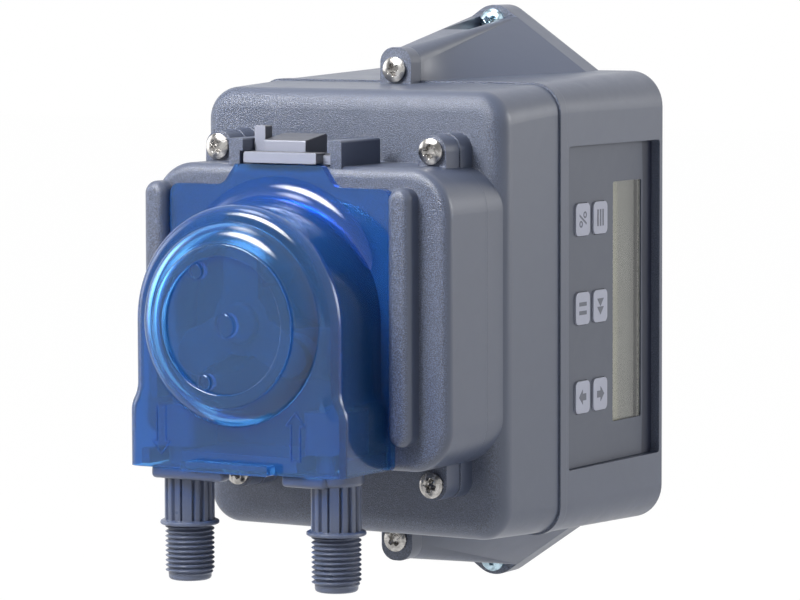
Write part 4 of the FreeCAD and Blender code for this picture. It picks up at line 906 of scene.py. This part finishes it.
def around(axis: Vector) -> Place:
    """Measure by angle, radius and height about an upright axis.

    Args:
        axis: Point of the axis at height 0.

    Returns:
        Function that gives the point.
    """

    def place(angle: float, radius: float, height: float) -> Vector:
        """Point at an angle, a radius and a height."""
        return axis + Vector((radius * math.cos(angle), radius * math.sin(angle), height))

    return place


def rounded_rim(low: float, radius: float, edge: float, steps: int = 6) -> list[Ring]:
    """Rings of a rounded lower rim.

    Args:
        low: Height of the rim's lower face.
        radius: Radius above the rounding.
        edge: Radius of the rounding.
        steps: Segments of the rounding.

    Returns:
        The rings, from the lower face up.
    """
    turns = [QUARTER_TURN * index / steps for index in range(steps + 1)]
    return [(low + edge * (1 - math.cos(turn)), radius - edge * (1 - math.sin(turn))) for turn in turns]


def rectangle(a: float, b: float, width: float, height: float) -> Outline:
    """Corners of a rectangle about a centre."""
    signs = ((-1, -1), (1, -1), (1, 1), (-1, 1))
    return tuple((a + x * width / 2, b + y * height / 2) for x, y in signs)


def circle(a: float, b: float, radius: float, corners: int = 28) -> Outline:
    """Corners of a regular polygon that stands for a circle."""
    turns = [FULL_TURN * index / corners for index in range(corners)]
    return tuple((a + radius * math.cos(turn), b + radius * math.sin(turn)) for turn in turns)


# Camera and studio


def direction(azimuth: float, elevation: float) -> Vector:
    """Unit vector from the pump.

    Args:
        azimuth: Angle from straight in front towards the right side, in degrees.
        elevation: Angle above the level, in degrees.

    Returns:
        The vector.
    """
    turn = math.radians(azimuth)
    rise = math.radians(elevation)
    return Vector((math.sin(turn) * math.cos(rise), -math.cos(turn) * math.cos(rise), math.sin(rise)))


@dataclass(frozen=True)
class PhotoCamera:
    """Camera at the photograph's view.

    Attributes:
        azimuth: Angle from straight in front towards the right side, in degrees.
        elevation: Angle above the level, in degrees.
        roll: Turn about the viewing axis, in degrees.
        distance: Distance from the target.
        target: Point in the middle of the picture.
        lens: Focal length in millimetres.
        sensor: Sensor width in millimetres.
    """

    azimuth: float = 30.64
    elevation: float = 4.75
    roll: float = -0.15
    distance: float = 1.17015
    target: tuple[float, float, float] = (0.00519, -0.07, 0.00211)
    lens: float = 192.14
    sensor: float = 36.0

    def build(self) -> None:
        """Place the camera and make it the scene's camera."""
        turn = math.radians(self.azimuth)
        back = direction(self.azimuth, self.elevation)
        right = Vector((math.cos(turn), math.sin(turn), 0.0))
        axes = Matrix((right, back.cross(right), back)).transposed().to_4x4()
        data = bpy.data.cameras.new("photo_camera")
        data.lens = self.lens
        data.sensor_width = self.sensor
        camera = bpy.data.objects.new("photo_camera", data)
        roll = Matrix.Rotation(math.radians(self.roll), 4, "Z")
        camera.matrix_world = Matrix.Translation(Vector(self.target) + back * self.distance) @ axes @ roll
        bpy.context.scene.collection.objects.link(camera)
        bpy.context.scene.camera = camera


@dataclass(frozen=True)
class SoftBox:
    """One rectangular studio lamp that is brightest in its middle and fades out towards its rim.

    Attributes:
        name: Name of the lamp.
        azimuth: Direction from the pump, as for the camera, in degrees.
        elevation: Angle above the level, in degrees.
        distance: Distance from the pump.
        width: Width of the lit face.
        height: Height of the lit face.
        power: Power in watts.
    """

    POWER_KEPT = 12.0 / math.pi

    name: str
    azimuth: float
    elevation: float
    distance: float
    width: float
    height: float
    power: float

    def build(self, middle: Vector) -> None:
        """Hang the lamp so that it faces the pump.

        Args:
            middle: Middle of the pump.
        """
        data = bpy.data.lights.new(self.name, "AREA")
        data.shape = "RECTANGLE"
        data.size = self.width
        data.size_y = self.height
        data.energy = self.power
        self.fade(data)
        away = direction(self.azimuth, self.elevation)
        spin = away.to_track_quat("Z", "Y").to_matrix().to_4x4()
        lamp = bpy.data.objects.new(self.name, data)
        lamp.matrix_world = Matrix.Translation(middle + away * self.distance) @ spin
        bpy.context.scene.collection.objects.link(lamp)

    def fade(self, data: bpy.types.Light) -> None:
        """Let the lit face fade out towards its rim, with the lamp's power kept.

        Args:
            data: The lamp.
        """
        data.use_nodes = True
        data.node_tree.nodes.clear()
        sheet = NodeSheet(data.node_tree)
        face = sheet.add("ShaderNodeNewGeometry").outputs["Parametric"]
        spread = sheet.vector("MULTIPLY_ADD", face, (2.0, 2.0, 0.0), (-1.0, -1.0, 0.0))[0]
        square = sheet.vector("DOT_PRODUCT", spread, spread)["Value"]
        inner = sheet.math("SUBTRACT", 1.0, square, clamp=True)
        bell = sheet.math("MULTIPLY", inner, inner)
        strength = sheet.scaled(bell, gain=self.POWER_KEPT)
        light = sheet.add("ShaderNodeEmission", {"Color": WHITE, "Strength": strength})
        sheet.add("ShaderNodeOutputLight", {"Surface": light.outputs[0]})


@dataclass
class Studio:
    """Floor, world light and lamps.

    Attributes:
        floor_drop: Gap between the pump's lowest point and the floor.
        floor_half: Half width of the floor.
        floor_grey: Colour and roughness of the floor as a matt surface.
        even_light: Strength of the world's light on the pump from the level.
        slope: Change of that strength towards +X, +Y and +Z.
        shade: Share of the floor that is shaded as a matt surface.
        floor_white: Strength of its other share, so that the floor is white outside the shadow.
        gloss_gain: How much brighter the surroundings are in reflections than as a light.
        lamps: The lamps.
    """

    floor_drop: float = 0.16
    floor_half: float = 6.0
    floor_grey: float = 0.9
    even_light: float = 0.54
    slope: tuple[float, float, float] = (0.12, 0.22, 0.03)
    shade: float = 0.10
    floor_white: float = 1.05
    gloss_gain: float = 1.6
    lamps: tuple[SoftBox, ...] = (
        SoftBox("key_softbox", -17.0, 42.0, 0.50, 0.40, 0.28, 4.7),
        SoftBox("overhead_softbox", -60.0, 70.0, 0.7, 0.45, 0.35, 1.5),
        SoftBox("left_softbox", -75.0, 12.0, 0.6, 0.5, 0.6, 1.0),
        SoftBox("side_softbox", 128.0, 14.0, 1.0, 0.7, 0.7, 2.6),
    )

    def build(self) -> None:
        """Set the view transform and build the world, the floor and the lamps."""
        scene = bpy.context.scene
        scene.view_settings.view_transform = "Standard"
        low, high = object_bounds()
        low, high = Vector(low), Vector(high)
        self.world()
        self.floor(low.z - self.floor_drop)
        for lamp in self.lamps:
            lamp.build((low + high) / 2)

    def world(self) -> None:
        """White surroundings, seen at full strength, that light the pump more from behind and above."""
        world = bpy.data.worlds.new("studio_world")
        bpy.context.scene.world = world
        world.use_nodes = True
        world.node_tree.nodes.clear()
        sheet = NodeSheet(world.node_tree)
        path = sheet.add("ShaderNodeLightPath").outputs
        seen = sheet.math("ADD", path["Is Camera Ray"], path["Is Transmission Ray"], clamp=True)
        way = sheet.add("ShaderNodeTexCoord").outputs["Generated"]
        lean = sheet.vector("DOT_PRODUCT", way, self.slope)["Value"]
        level = sheet.math("ADD", lean, self.even_light)
        gloss = sheet.scaled(path["Is Glossy Ray"], gain=self.gloss_gain - 1.0, offset=1.0)
        even = sheet.math("MULTIPLY", level, gloss)
        gap = sheet.math("MULTIPLY", sheet.math("SUBTRACT", 1.0, even), seen)
        strength = sheet.math("ADD", even, gap)
        light = sheet.add("ShaderNodeBackground", {"Color": WHITE, "Strength": strength})
        sheet.add("ShaderNodeOutputWorld", {"Surface": light.outputs[0]})

    def floor(self, level: float) -> None:
        """Plain pale floor that keeps a soft shadow.

        Args:
            level: Height of the floor.
        """
        shape = Shape("studio_floor")
        corners = rectangle(0.0, 0.0, 2 * self.floor_half, 2 * self.floor_half)
        shape.mesh.faces.new(shape.loop(Vector((x, y, level)) for x, y in corners))
        floor = shape.finished()
        sheet = MaterialSheet("pale_floor")
        grey = self.floor_grey
        sheet.shade({"Base Color": (grey, grey, grey), "Roughness": grey, "Specular IOR Level": 0.0})
        white = sheet.add("ShaderNodeEmission", {"Color": WHITE, "Strength": self.floor_white})
        path = sheet.add("ShaderNodeLightPath").outputs
        seen = sheet.math("ADD", path["Is Camera Ray"], path["Is Glossy Ray"])
        seen = sheet.math("ADD", seen, path["Is Transmission Ray"], clamp=True)
        sheet.lay_over(sheet.scaled(seen, gain=1.0 - self.shade), white)
        floor.data.materials.append(sheet.material)
        floor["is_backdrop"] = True


# Pieces of the pump


@dataclass
class PanScrew:
    """Pan-head screw with a cross recess, its head towards the front.

    Attributes:
        head_r: Radius of the head.
        head_t: Height of the head.
        shank_r: Radius of the shank over the thread.
        length: Length below the head.
        recess_l: Length of the cross from tip to tip.
        recess_w: Width of its arms.
    """

    CROWN_DROP = 0.42
    CROWN_POWER = 2.6
    HEAD_CIRCLES = 22
    CIRCLE_POWER = 0.85
    HEAD_COLUMNS = 72
    SEAT_SHARE = 0.97
    RECESS_DEPTH = 1.3 * MM
    RECESS_SLOPE = 0.28 * MM
    SIDE_GAIN = 2.8
    TIP_GAIN = 2.2
    PITCH = 1.3 * MM
    RINGS_PER_PITCH = 6
    SHANK_COLUMNS = 16
    CORE_SHARE = 0.78
    POINT = 0.6 * MM
    TAPER = 3.0 * MM
    TAPER_START = 0.35

    head_r: float = 3.5 * MM
    head_t: float = 1.9 * MM
    shank_r: float = 1.75 * MM
    length: float = 14.0 * MM
    recess_l: float = 3.9 * MM
    recess_w: float = 0.85 * MM

    def crown(self, radius: float) -> float:
        """Height of the domed head at a radius."""
        share = radius / self.head_r
        return self.head_t * (1.0 - self.CROWN_DROP * share**self.CROWN_POWER)

    def recess(self, a: float, b: float) -> float:
        """Depth of the cross recess at a point of the head.

        Args:
            a: Distance from the middle along one arm.
            b: Distance from the middle along the other arm.

        Returns:
            The depth.
        """
        deepest = 0.0
        for along, across in ((abs(a), abs(b)), (abs(b), abs(a))):
            reach = 1.0 - along / (self.recess_l / 2)
            side = 1.0 - across / (self.recess_w / 2 + self.RECESS_SLOPE)
            if reach > 0 and side > 0:
                share = min(1.0, side * self.SIDE_GAIN) * min(1.0, reach * self.TIP_GAIN)
                deepest = max(deepest, share * self.RECESS_DEPTH)
        return deepest

    def add_to(self, shape: Shape, seat: Vector, turn: float) -> None:
        """Add one screw to a shape.

        Args:
            shape: Shape that collects the screws.
            seat: Centre of the face under the head.
            turn: Turn of the cross, in degrees.
        """
        spin = math.radians(turn)

        def place(angle: float, radius: float, height: float) -> Vector:
            """Point at an angle, a radius and a height over the seat."""
            return seat + Vector((radius * math.cos(angle), -height, radius * math.sin(angle)))

        def domed(angle: float, radius: float, height: float) -> Vector:
            """Point of the head, moved onto the dome and into the recess.

            Args:
                angle: Angle about the axis.
                radius: Distance from the axis.
                height: 0 for the underside, more for the dome.

            Returns:
                The point.
            """
            if height > 0:
                a = radius * math.cos(angle - spin)
                b = radius * math.sin(angle - spin)
                height = self.crown(radius) - self.recess(a, b)
            return place(angle, radius, height)

        shares = [(index / self.HEAD_CIRCLES) ** self.CIRCLE_POWER for index in range(self.HEAD_CIRCLES + 1)]
        head: list[Ring] = [(1.0, self.head_r * share) for share in shares]
        shape.turned([*head, (0.0, self.head_r * self.SEAT_SHARE), (0.0, 0.0)], self.HEAD_COLUMNS, domed)
        steps = int(self.length / (self.PITCH / self.RINGS_PER_PITCH))
        heights = [-self.length * index / steps for index in range(steps + 1)]
        shank: list[Ring] = [(height, self.flank(height)) for height in heights]
        end = (-self.length - self.POINT, 0.0)
        shape.turned([(0.0, 0.0), *shank, end], self.SHANK_COLUMNS, place)

    def flank(self, height: float) -> Radius:
        """Radius of the thread at a height.

        Args:
            height: Height over the seat, less than 0 along the shank.

        Returns:
            Function of the angle that gives the radius.
        """
        taper = min(1.0, self.TAPER_START + (self.length + height) / self.TAPER)

        def radius(angle: float) -> float:
            """Radius at an angle.

            Args:
                angle: Angle about the axis.

            Returns:
                The radius.
            """
            phase = (height / self.PITCH + angle / FULL_TURN) % 1.0
            ridge = max(0.0, 1.0 - abs(phase - 0.5) * 4.0)
            return self.shank_r * (self.CORE_SHARE + (1.0 - self.CORE_SHARE) * ridge) * taper

        return radius


@dataclass
class Assembly:
    """Sub-assembly of the pump.

    Attributes:
        paint: Puts finishes on pieces.
    """

    FINISHES = {}

    paint: Paint

    def build(self) -> None:
        """Dress the model nodes and build the new pieces."""
        for finish, names in self.FINISHES.items():
            for name in names:
                self.paint.node(name, finish)
        self.pieces()

    def pieces(self) -> None:
        """Build the new pieces, of which some sub-assemblies have none."""

    def seated_screws(self, node: str, name: str, screw: PanScrew, upper: Outline, lower: Outline) -> None:
        """Set screws in place of a model node, in an upper and a lower row.

        Args:
            node: Name of the model node.
            name: Name of the new piece.
            screw: Form of the screws.
            upper: Place from left to right and turn of the cross, in degrees, of each upper screw.
            lower: The same of each lower screw.
        """
        low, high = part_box(node)
        seat_y = low.y + screw.head_t
        shape = Shape(name)
        for row, z in ((upper, high.z - screw.head_r), (lower, low.z + screw.head_r)):
            for x, turn in row:
                screw.add_to(shape, Vector((x, seat_y, z)), turn)
        piece = shape.finished()
        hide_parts(node)
        self.paint.piece(piece, Finish.SCREW, Body.PUMP.value, "screw_steel")


@dataclass
class Casing(Assembly):
    """Rear and front casing with seam parts, cable entry, casing screws and wall screws.

    Attributes:
        screw: Screw that holds the two halves.
        upper: Place and turn of the upper one, in degrees.
        lower: Place and turn of the lower one.
        wall_screw: Screw in an ear pocket.
        wall_turns: Side of each wall screw, 1 for above, and its turn.
        ear_plate: Thickness of the plate under it.
    """

    FINISHES = {
        Finish.CASING: ("rear_casing", "front_casing"),
        Finish.RUBBER: ("casing_gasket", "cable_grommet"),
    }

    screw: PanScrew = field(default_factory=lambda: PanScrew(length=15.0 * MM))
    upper: Outline = ((0.0, 18.0),)
    lower: Outline = ((0.0, 40.0),)
    wall_screw: PanScrew = field(
        default_factory=lambda: PanScrew(
            head_r=3.9 * MM,
            head_t=2.6 * MM,
            shank_r=1.95 * MM,
            length=3.0 * MM,
            recess_l=4.4 * MM,
            recess_w=0.95 * MM,
        )
    )
    wall_turns: Outline = ((1, 55.0), (-1, 5.0))
    ear_plate: float = 8.0 * MM

    def pieces(self) -> None:
        """Set the screws between the halves and those in the ear pockets, at the wall mount."""
        self.seated_screws("casing_screws", "casing_screw_set", self.screw, self.upper, self.lower)
        half = self.paint.mounts["wall_screws"]["dims"]["spacing_y_mm"] * MM / 2
        shape = Shape("wall_screw_set")
        for side, turn in self.wall_turns:
            self.wall_screw.add_to(shape, Vector((0.0, -self.ear_plate, side * half)), turn)
        self.paint.piece(shape.finished(), Finish.ZINC, Body.PUMP.value, "screw_steel")


@dataclass
class PumpHead(Assembly):
    """Head housing with its screws and the latch slide.

    Attributes:
        screw: Screw in a lug.
        upper: Place and turn of each upper one, in degrees.
        lower: Place and turn of each lower one.
    """

    FINISHES = {Finish.HEAD: ("head_housing",), Finish.LATCH: ("cover_latch",)}

    screw: PanScrew = field(default_factory=PanScrew)
    upper: Outline = ((33.5 * MM, 12.0), (-33.4 * MM, 38.0))
    lower: Outline = ((33.5 * MM, 70.0), (-27.5 * MM, 25.0))

    def pieces(self) -> None:
        """Set the head screws."""
        self.seated_screws("head_screws", "head_screw_set", self.screw, self.upper, self.lower)


@dataclass
class Cover(Assembly):
    """Blue clear cover with its raised flow arrows and the hollow rounding at its flange.

    Attributes:
        face_y: Place of the face under the arrows.
        arrows: Place of each arrow's foot and the way it points, 1 for up.
        arrow_l: Length of an arrow.
        arrow_half: Half width of its head.
        arrow_head: Length of its head.
        shaft_half: Half width of its shaft.
        line_w: Width of the raised line.
        line_sunk: Depth of the line in the cover's wall.
        raised: Height of the line.
        flange_y: Place of the flange's face.
        axis: Middle of the round wall.
        dome_r: Radius of the round wall.
        blend_r: Radius of the hollow rounding in its middle.
        blend_half: Half of the angle that it covers.
        sink: Depth of its back in the wall and the flange.
    """

    FINISHES = {Finish.COVER: ("pump_cover",)}
    HEAD_MITRE = 1.4
    TIP_MITRE = 1.5

    face_y: float = -140.8 * MM
    arrows: tuple = ((15.5 * MM, -34.6 * MM, 1), (-26.3 * MM, -21.8 * MM, -1))
    arrow_l: float = 13.2 * MM
    arrow_half: float = 3.1 * MM
    arrow_head: float = 3.9 * MM
    shaft_half: float = 1.6 * MM
    line_w: float = 0.45 * MM
    line_sunk: float = 0.1 * MM
    raised: float = 0.22 * MM
    flange_y: float = -117.4 * MM
    axis: tuple[float, float] = (-4.2 * MM, 0.4 * MM)
    dome_r: float = 31.6 * MM
    blend_r: float = 6.0 * MM
    blend_half: float = math.radians(64.0)
    sink: float = 0.3 * MM

    def rounding(self, steps: int = 48, bends: int = 8) -> bpy.types.Object:
        """Hollow rounding between the flange and the upper half of the round wall.

        Args:
            steps: Segments along the wall.
            bends: Segments of the hollow.

        Returns:
            The new piece.
        """
        shape = Shape("cover_root_rounding")
        sections = []
        for step in range(steps + 1):
            lean = 2.0 * step / steps - 1.0
            turn = QUARTER_TURN - lean * self.blend_half
            size = max(self.blend_r * math.sqrt(1.0 - lean * lean), self.sink)
            outline = [(-self.sink, -self.sink), (-self.sink, size)]
            for bend in range(bends + 1):
                angle = QUARTER_TURN * bend / bends
                outline.append((size * (1.0 - math.cos(angle)), size * (1.0 - math.sin(angle))))
            outline.append((size, -self.sink))
            section = []
            for reach, rise in outline:
                radius = self.dome_r + reach
                x = self.axis[0] + radius * math.cos(turn)
                z = self.axis[1] + radius * math.sin(turn)
                section.append(Vector((x, self.flange_y - rise, z)))
            sections.append(section)
        shape.closed(sections)
        return shape.finished()

    def arrow(self, grow: float) -> Outline:
        """Outline of an upward arrow about its foot.

        Args:
            grow: How far it is moved outwards.

        Returns:
            Its corners.
        """
        half = self.arrow_half + grow * self.HEAD_MITRE
        shaft = self.shaft_half + grow
        neck = self.arrow_l - self.arrow_head - grow
        tip = self.arrow_l + grow * self.TIP_MITRE
        return (
            (-shaft, -grow),
            (shaft, -grow),
            (shaft, neck),
            (half, neck),
            (0.0, tip),
            (-half, neck),
            (-shaft, neck),
        )

    def flow_arrows(self) -> bpy.types.Object:
        """Arrow over each hose.

        Returns:
            The new piece.
        """
        shape = Shape("flow_arrows")
        for x, z, way in self.arrows:

            def place(a: float, b: float, level: float, x: float = x, z: float = z, way: int = way) -> Vector:
                """Point on the cover's face, or over it."""
                return Vector((x + a, self.face_y - level, z + way * b))

            shape.band(self.arrow(0.0), self.arrow(-self.line_w), place, -self.line_sunk, self.raised)
        return shape.finished(smooth_angle=10.0)

    def pieces(self) -> None:
        """Add the arrows and the rounding."""
        for piece in (self.flow_arrows(), self.rounding()):
            self.paint.piece(piece, Finish.COVER, Body.COVER.value, "cover_blue")


@dataclass
class HoseConnector(Assembly):
    """Threaded hose connector with its fluted barrel, flange, tab and clamp block.

    Attributes:
        side: 1 for the right connector and -1 for the left one.
        tab_ends: Reach of the front tab from the axis, outwards and inwards.
    """

    BARREL_COLUMNS = 180
    BARREL_STEPS = 5
    DISC_COLUMNS = 96
    BLOCK_COLUMNS = 48
    THREAD_STEP = 0.1 * MM
    THREAD_IN = 0.9 * MM
    THREAD_OUT = 0.5 * MM
    RIDGE_START = 0.12
    RIDGE_GAIN = 1.35
    CREST_STEP = 0.012
    GROOVE_LEAD = 2.2
    GROOVE_FLANK = 3.2
    CORNER_SHARE = 1.27

    side: int
    tab_ends: tuple[float, float] = (1.6 * MM, 12.0 * MM)
    bore_r: float = 3.0 * MM
    end_r: float = 5.75 * MM
    end_round: float = 0.9 * MM
    plain_end: float = 1.5 * MM
    thread_r: float = 6.58 * MM
    thread_pitch: float = 1.30 * MM
    thread_t: float = 0.82 * MM
    collar_r: float = 7.9 * MM
    collar_t: float = 1.2 * MM
    barrel_r: float = 6.75 * MM
    barrel_low: float = -53.9 * MM
    groove_t: float = 0.95 * MM
    rib_pitch: float = 24.0
    rib_w: float = 17.0
    flat_w: float = 27.0
    flat_turn: float = -62.5
    disc_r: float = 7.4 * MM
    disc_t: float = 3.2 * MM
    disc_edge: float = 1.2 * MM
    disc_high: float = -38.7 * MM
    overlap: float = 0.3 * MM
    tab_t: float = 4.6 * MM
    tab_h: float = 3.6 * MM
    tab_edge: float = 1.3 * MM
    tab_out: float = 8.6 * MM
    neck_r: float = 5.0 * MM
    block_half: float = 6.2 * MM
    block_high: float = -22.5 * MM
    block_low: float = -33.7 * MM
    socket_r: float = 4.05 * MM

    @property
    def name(self) -> str:
        """Name of the model's node."""
        return "hose_connector_right" if self.side > 0 else "hose_connector_left"

    def axis(self) -> Vector:
        """Place of the connector's axis, from its thread mount."""
        mount = self.paint.mounts["outlet_thread" if self.side > 0 else "inlet_thread"]
        return Vector((mount["pos_m"][0], mount["pos_m"][1], 0.0))

    def thread(self, z: float, low: float, high: float) -> Radius:
        """Radius of the thread at a height.

        Args:
            z: The height.
            low: Height at which the thread starts.
            high: Height at which it ends.

        Returns:
            Function of the angle that gives the radius.
        """
        fade = max(0.0, min(1.0, (z - low) / self.THREAD_IN, (high - z) / self.THREAD_OUT))

        def radius(angle: float) -> float:
            """Radius at an angle.

            Args:
                angle: Angle about the axis.

            Returns:
                The radius.
            """
            phase = (z / self.thread_pitch - angle / FULL_TURN) % 1.0
            ridge = 1.0 - abs(phase - 0.5) * 2.0
            ridge = min(1.0, max(0.0, (ridge - self.RIDGE_START) * self.RIDGE_GAIN))
            return self.thread_r - self.thread_t * (1.0 - ridge * fade)

        return radius

    def fluted(self, share: float) -> Radius:
        """Radius of the barrel.

        Args:
            share: Share of the grooves' full depth.

        Returns:
            Function of the angle that gives the radius.
        """
        flat_half = self.flat_w / 2

        def radius(angle: float) -> float:
            """Radius at an angle.

            Args:
                angle: Angle about the axis.

            Returns:
                The radius.
            """
            turn = (math.degrees(angle) - self.flat_turn + 180.0) % 360.0 - 180.0
            index = round(turn / self.rib_pitch)
            off = abs(turn - index * self.rib_pitch)
            half = self.rib_w / 2
            crest = self.barrel_r * (1.0 - self.CREST_STEP * (index % 3))
            if index == 0:
                half = flat_half
                level = math.cos(math.radians(flat_half)) / math.cos(math.radians(min(off, flat_half)))
                crest = self.barrel_r * level
            groove = min(1.0, max(0.0, (off - half + self.GROOVE_LEAD) / self.GROOVE_FLANK))
            return crest - self.groove_t * share * groove

        return radius

    def spigot(self, shape: Shape, axis: Vector) -> None:
        """Bore, plain end, thread, collar and barrel in one turned form.

        Args:
            shape: Shape that collects the connector's forms.
            axis: Place of its axis.
        """
        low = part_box(self.name)[0].z
        base = self.barrel_low
        collar_low = base - self.collar_t
        start = low + self.plain_end
        count = int((collar_low - start) / self.THREAD_STEP)
        heights = [start + (collar_low - start) * index / count for index in range(count + 1)]
        top = self.disc_high - self.disc_t + self.overlap
        barrel = [base + (top - base) * step / self.BARREL_STEPS for step in range(1, self.BARREL_STEPS + 1)]
        rings: list[Ring] = [
            (base, 0.0),
            (base, self.bore_r),
            (low + 0.5 * MM, self.bore_r),
            (low, self.bore_r + 0.4 * MM),
            *rounded_rim(low, self.end_r, self.end_round),
            *((height, self.thread(height, start, collar_low)) for height in heights),
            (collar_low, self.collar_r - 0.3 * MM),
            (collar_low + 0.25 * MM, self.collar_r),
            (base - 0.5 * MM, self.collar_r),
            (base - 0.25 * MM, self.collar_r - 0.12 * MM),
            (base, self.collar_r - 0.6 * MM),
            (base + 0.02 * MM, self.fluted(0.0)),
            (base + 0.25 * MM, self.fluted(1.0)),
            *((height, self.fluted(1.0)) for height in barrel),
            (top, 0.0),
        ]
        shape.turned(rings, self.BARREL_COLUMNS, around(axis))

    def flange(self, shape: Shape, axis: Vector) -> None:
        """Disc under the cover with its rounded lower edge, the neck above it and the front tab.

        Args:
            shape: Shape that collects the connector's forms.
            axis: Place of its axis.
        """
        low = self.disc_high - self.disc_t
        neck_high = self.block_low + self.overlap
        rings: list[Ring] = [
            (low, 0.0),
            *rounded_rim(low, self.disc_r, self.disc_edge),
            (self.disc_high - 0.3 * MM, self.disc_r),
            (self.disc_high, self.disc_r - 0.3 * MM),
            (self.disc_high, self.neck_r),
            (neck_high, self.neck_r),
            (neck_high, 0.0),
        ]
        shape.turned(rings, self.DISC_COLUMNS, around(axis))
        ends = sorted((axis.x + self.side * self.tab_ends[0], axis.x - self.side * self.tab_ends[1]))
        corner = Vector((ends[0], axis.y - self.tab_out, self.disc_high - self.tab_h))
        far = Vector((ends[1], axis.y - self.tab_out + self.tab_t, self.disc_high))
        shape.block(corner, far, self.tab_edge, segments=4)

    def clamp(self, shape: Shape, axis: Vector) -> None:
        """Block that grips the tube over the barb: a square sleeve open at the top.

        Args:
            shape: Shape that collects the connector's forms.
            axis: Place of its axis.
        """
        half = self.block_half
        outer = []
        inner = []
        for index in range(self.BLOCK_COLUMNS):
            angle = FULL_TURN * (index + 0.5) / self.BLOCK_COLUMNS
            a = math.cos(angle)
            b = math.sin(angle)
            reach = min(half / max(abs(a), abs(b)), half * self.CORNER_SHARE)
            outer.append((reach * a, reach * b))
            inner.append((self.socket_r * a, self.socket_r * b))

        def place(a: float, b: float, level: float) -> Vector:
            """Point beside the axis at a level."""
            return axis + Vector((a, b, level))

        shape.band(outer, inner, place, self.block_low, self.block_high)

    def pieces(self) -> None:
        """Build the connector in place of its model node."""
        shape = Shape(self.name + "_threaded")
        axis = self.axis()
        self.spigot(shape, axis)
        self.flange(shape, axis)
        self.clamp(shape, axis)
        piece = shape.finished(smooth_angle=32.0)
        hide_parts(self.name)
        self.paint.piece(piece, Finish.CONNECTOR, Body.PUMP.value, "connector_grey")


@dataclass
class Mechanism(Assembly):
    """Tube, rollers, rotor, shafts, gear train and motor."""

    FINISHES = {
        Finish.TUBE: ("pump_tube",),
        Finish.NYLON: ("roller_1", "roller_2", "roller_3", "idler_gear"),
        Finish.ROTOR: ("rotor_frame", "rotor_front_plate", "rotor_cap"),
        Finish.PIN: ("roller_pins",),
        Finish.STEEL: ("output_shaft", "idler_pin", "motor_shaft"),
        Finish.PLATED: (
            "gearbox_front_plate",
            "gearbox_rear_plate",
            "gearbox_spacers",
            "gearbox_screws",
            "motor_can",
        ),
        Finish.BRASS: ("output_gear", "motor_pinion", "front_bush", "rear_bush"),
        Finish.COMPONENT: ("motor_end_cap",),
        Finish.RUBBER: ("shaft_seal",),
    }


ARROW = ((-0.95, -1.9), (0.95, -1.9), (0.95, 0.1), (2.1, 0.1), (0.0, 2.2), (-2.1, 0.1), (-0.95, 0.1))


class Mark(Enum):
    """Generic sign of each key: outlines in millimetres, with +b up as the keys are read."""

    PERCENT = (((-1.5, -2.0), (-0.9, -2.0), (1.5, 2.0), (0.9, 2.0)),)
    LINES = tuple(rectangle(0.0, level, 4.6, 0.75) for level in (-1.5, 0.0, 1.5))
    PAUSE = tuple(rectangle(level, 0.0, 1.1, 4.2) for level in (-1.2, 1.2))
    FORWARD = tuple(((a - 2.2, -1.9), (a, 0.0), (a - 2.2, 1.9)) for a in (0.1, 2.4))
    DOWN = (tuple((a, -b) for a, b in ARROW),)
    UP = (ARROW,)


@dataclass
class ControlPanel(Assembly):
    """Film, display and keys on the right side, with the board behind them.

    Attributes:
        mark_t: Thickness of the print.
        rings: Middle of each ring of the percent sign, in millimetres.
        ring_r: Outer and inner radius of such a ring, in millimetres.
    """

    FINISHES = {
        Finish.FILM: ("control_film",),
        Finish.WINDOW: ("display_window",),
        Finish.DISPLAY: ("display_module",),
        Finish.BOARD: ("control_board",),
        Finish.COMPONENT: ("key_switches",),
        Finish.KEY: ("key_1", "key_2", "key_3", "key_4", "key_5", "key_6"),
    }

    mark_t: float = 0.05 * MM
    rings: Outline = ((-1.25, 1.15), (1.25, -1.15))
    ring_r: tuple[float, float] = (0.95, 0.5)

    def pieces(self) -> None:
        """Print the key signs."""
        for number, mark in enumerate(Mark, start=1):
            self.sign(f"key_{number}", mark)

    def sign(self, key: str, mark: Mark) -> None:
        """Print one sign on its key.

        Args:
            key: Node and body name of the key.
            mark: The sign.
        """
        low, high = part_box(key)
        y = (low.y + high.y) / 2
        z = (low.z + high.z) / 2
        shape = Shape(key + "_sign")

        def place(a: float, b: float, level: float) -> Vector:
            """Point on the key for two lengths in millimetres and a level."""
            return Vector((high.x + level, y + b * MM, z - a * MM))

        for stroke in mark.value:
            shape.plate(stroke, place, 0.0, self.mark_t)
        if mark is Mark.PERCENT:
            for a, b in self.rings:
                outer, inner = (circle(a, b, radius) for radius in self.ring_r)
                shape.band(outer, inner, place, 0.0, self.mark_t)
        self.paint.piece(shape.finished(smooth_angle=10.0), Finish.MARK, key, "key_grey")


@dataclass
class PowerSupply(Assembly):
    """Power board with its parts, on the rear wall of the casing."""

    FINISHES = {
        Finish.BOARD: ("power_board",),
        Finish.PLATED: ("transformer",),
        Finish.COMPONENT: ("capacitors",),
        Finish.TERMINAL: ("terminal_block",),
    }


def main() -> None:
    """Load the frame, dress every part, and build the studio and the camera."""
    logging.basicConfig(level=logging.INFO, format="%(message)s")
    paint = Paint(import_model())
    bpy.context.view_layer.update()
    assemblies = (
        Casing(paint),
        PumpHead(paint),
        Cover(paint),
        HoseConnector(paint, side=-1, tab_ends=(6.9 * MM, 15.9 * MM)),
        HoseConnector(paint, side=1),
        Mechanism(paint),
        ControlPanel(paint),
        PowerSupply(paint),
    )
    for assembly in assemblies:
        assembly.build()
    Studio().build()
    PhotoCamera().build()


if __name__ == "__main__":
    main()
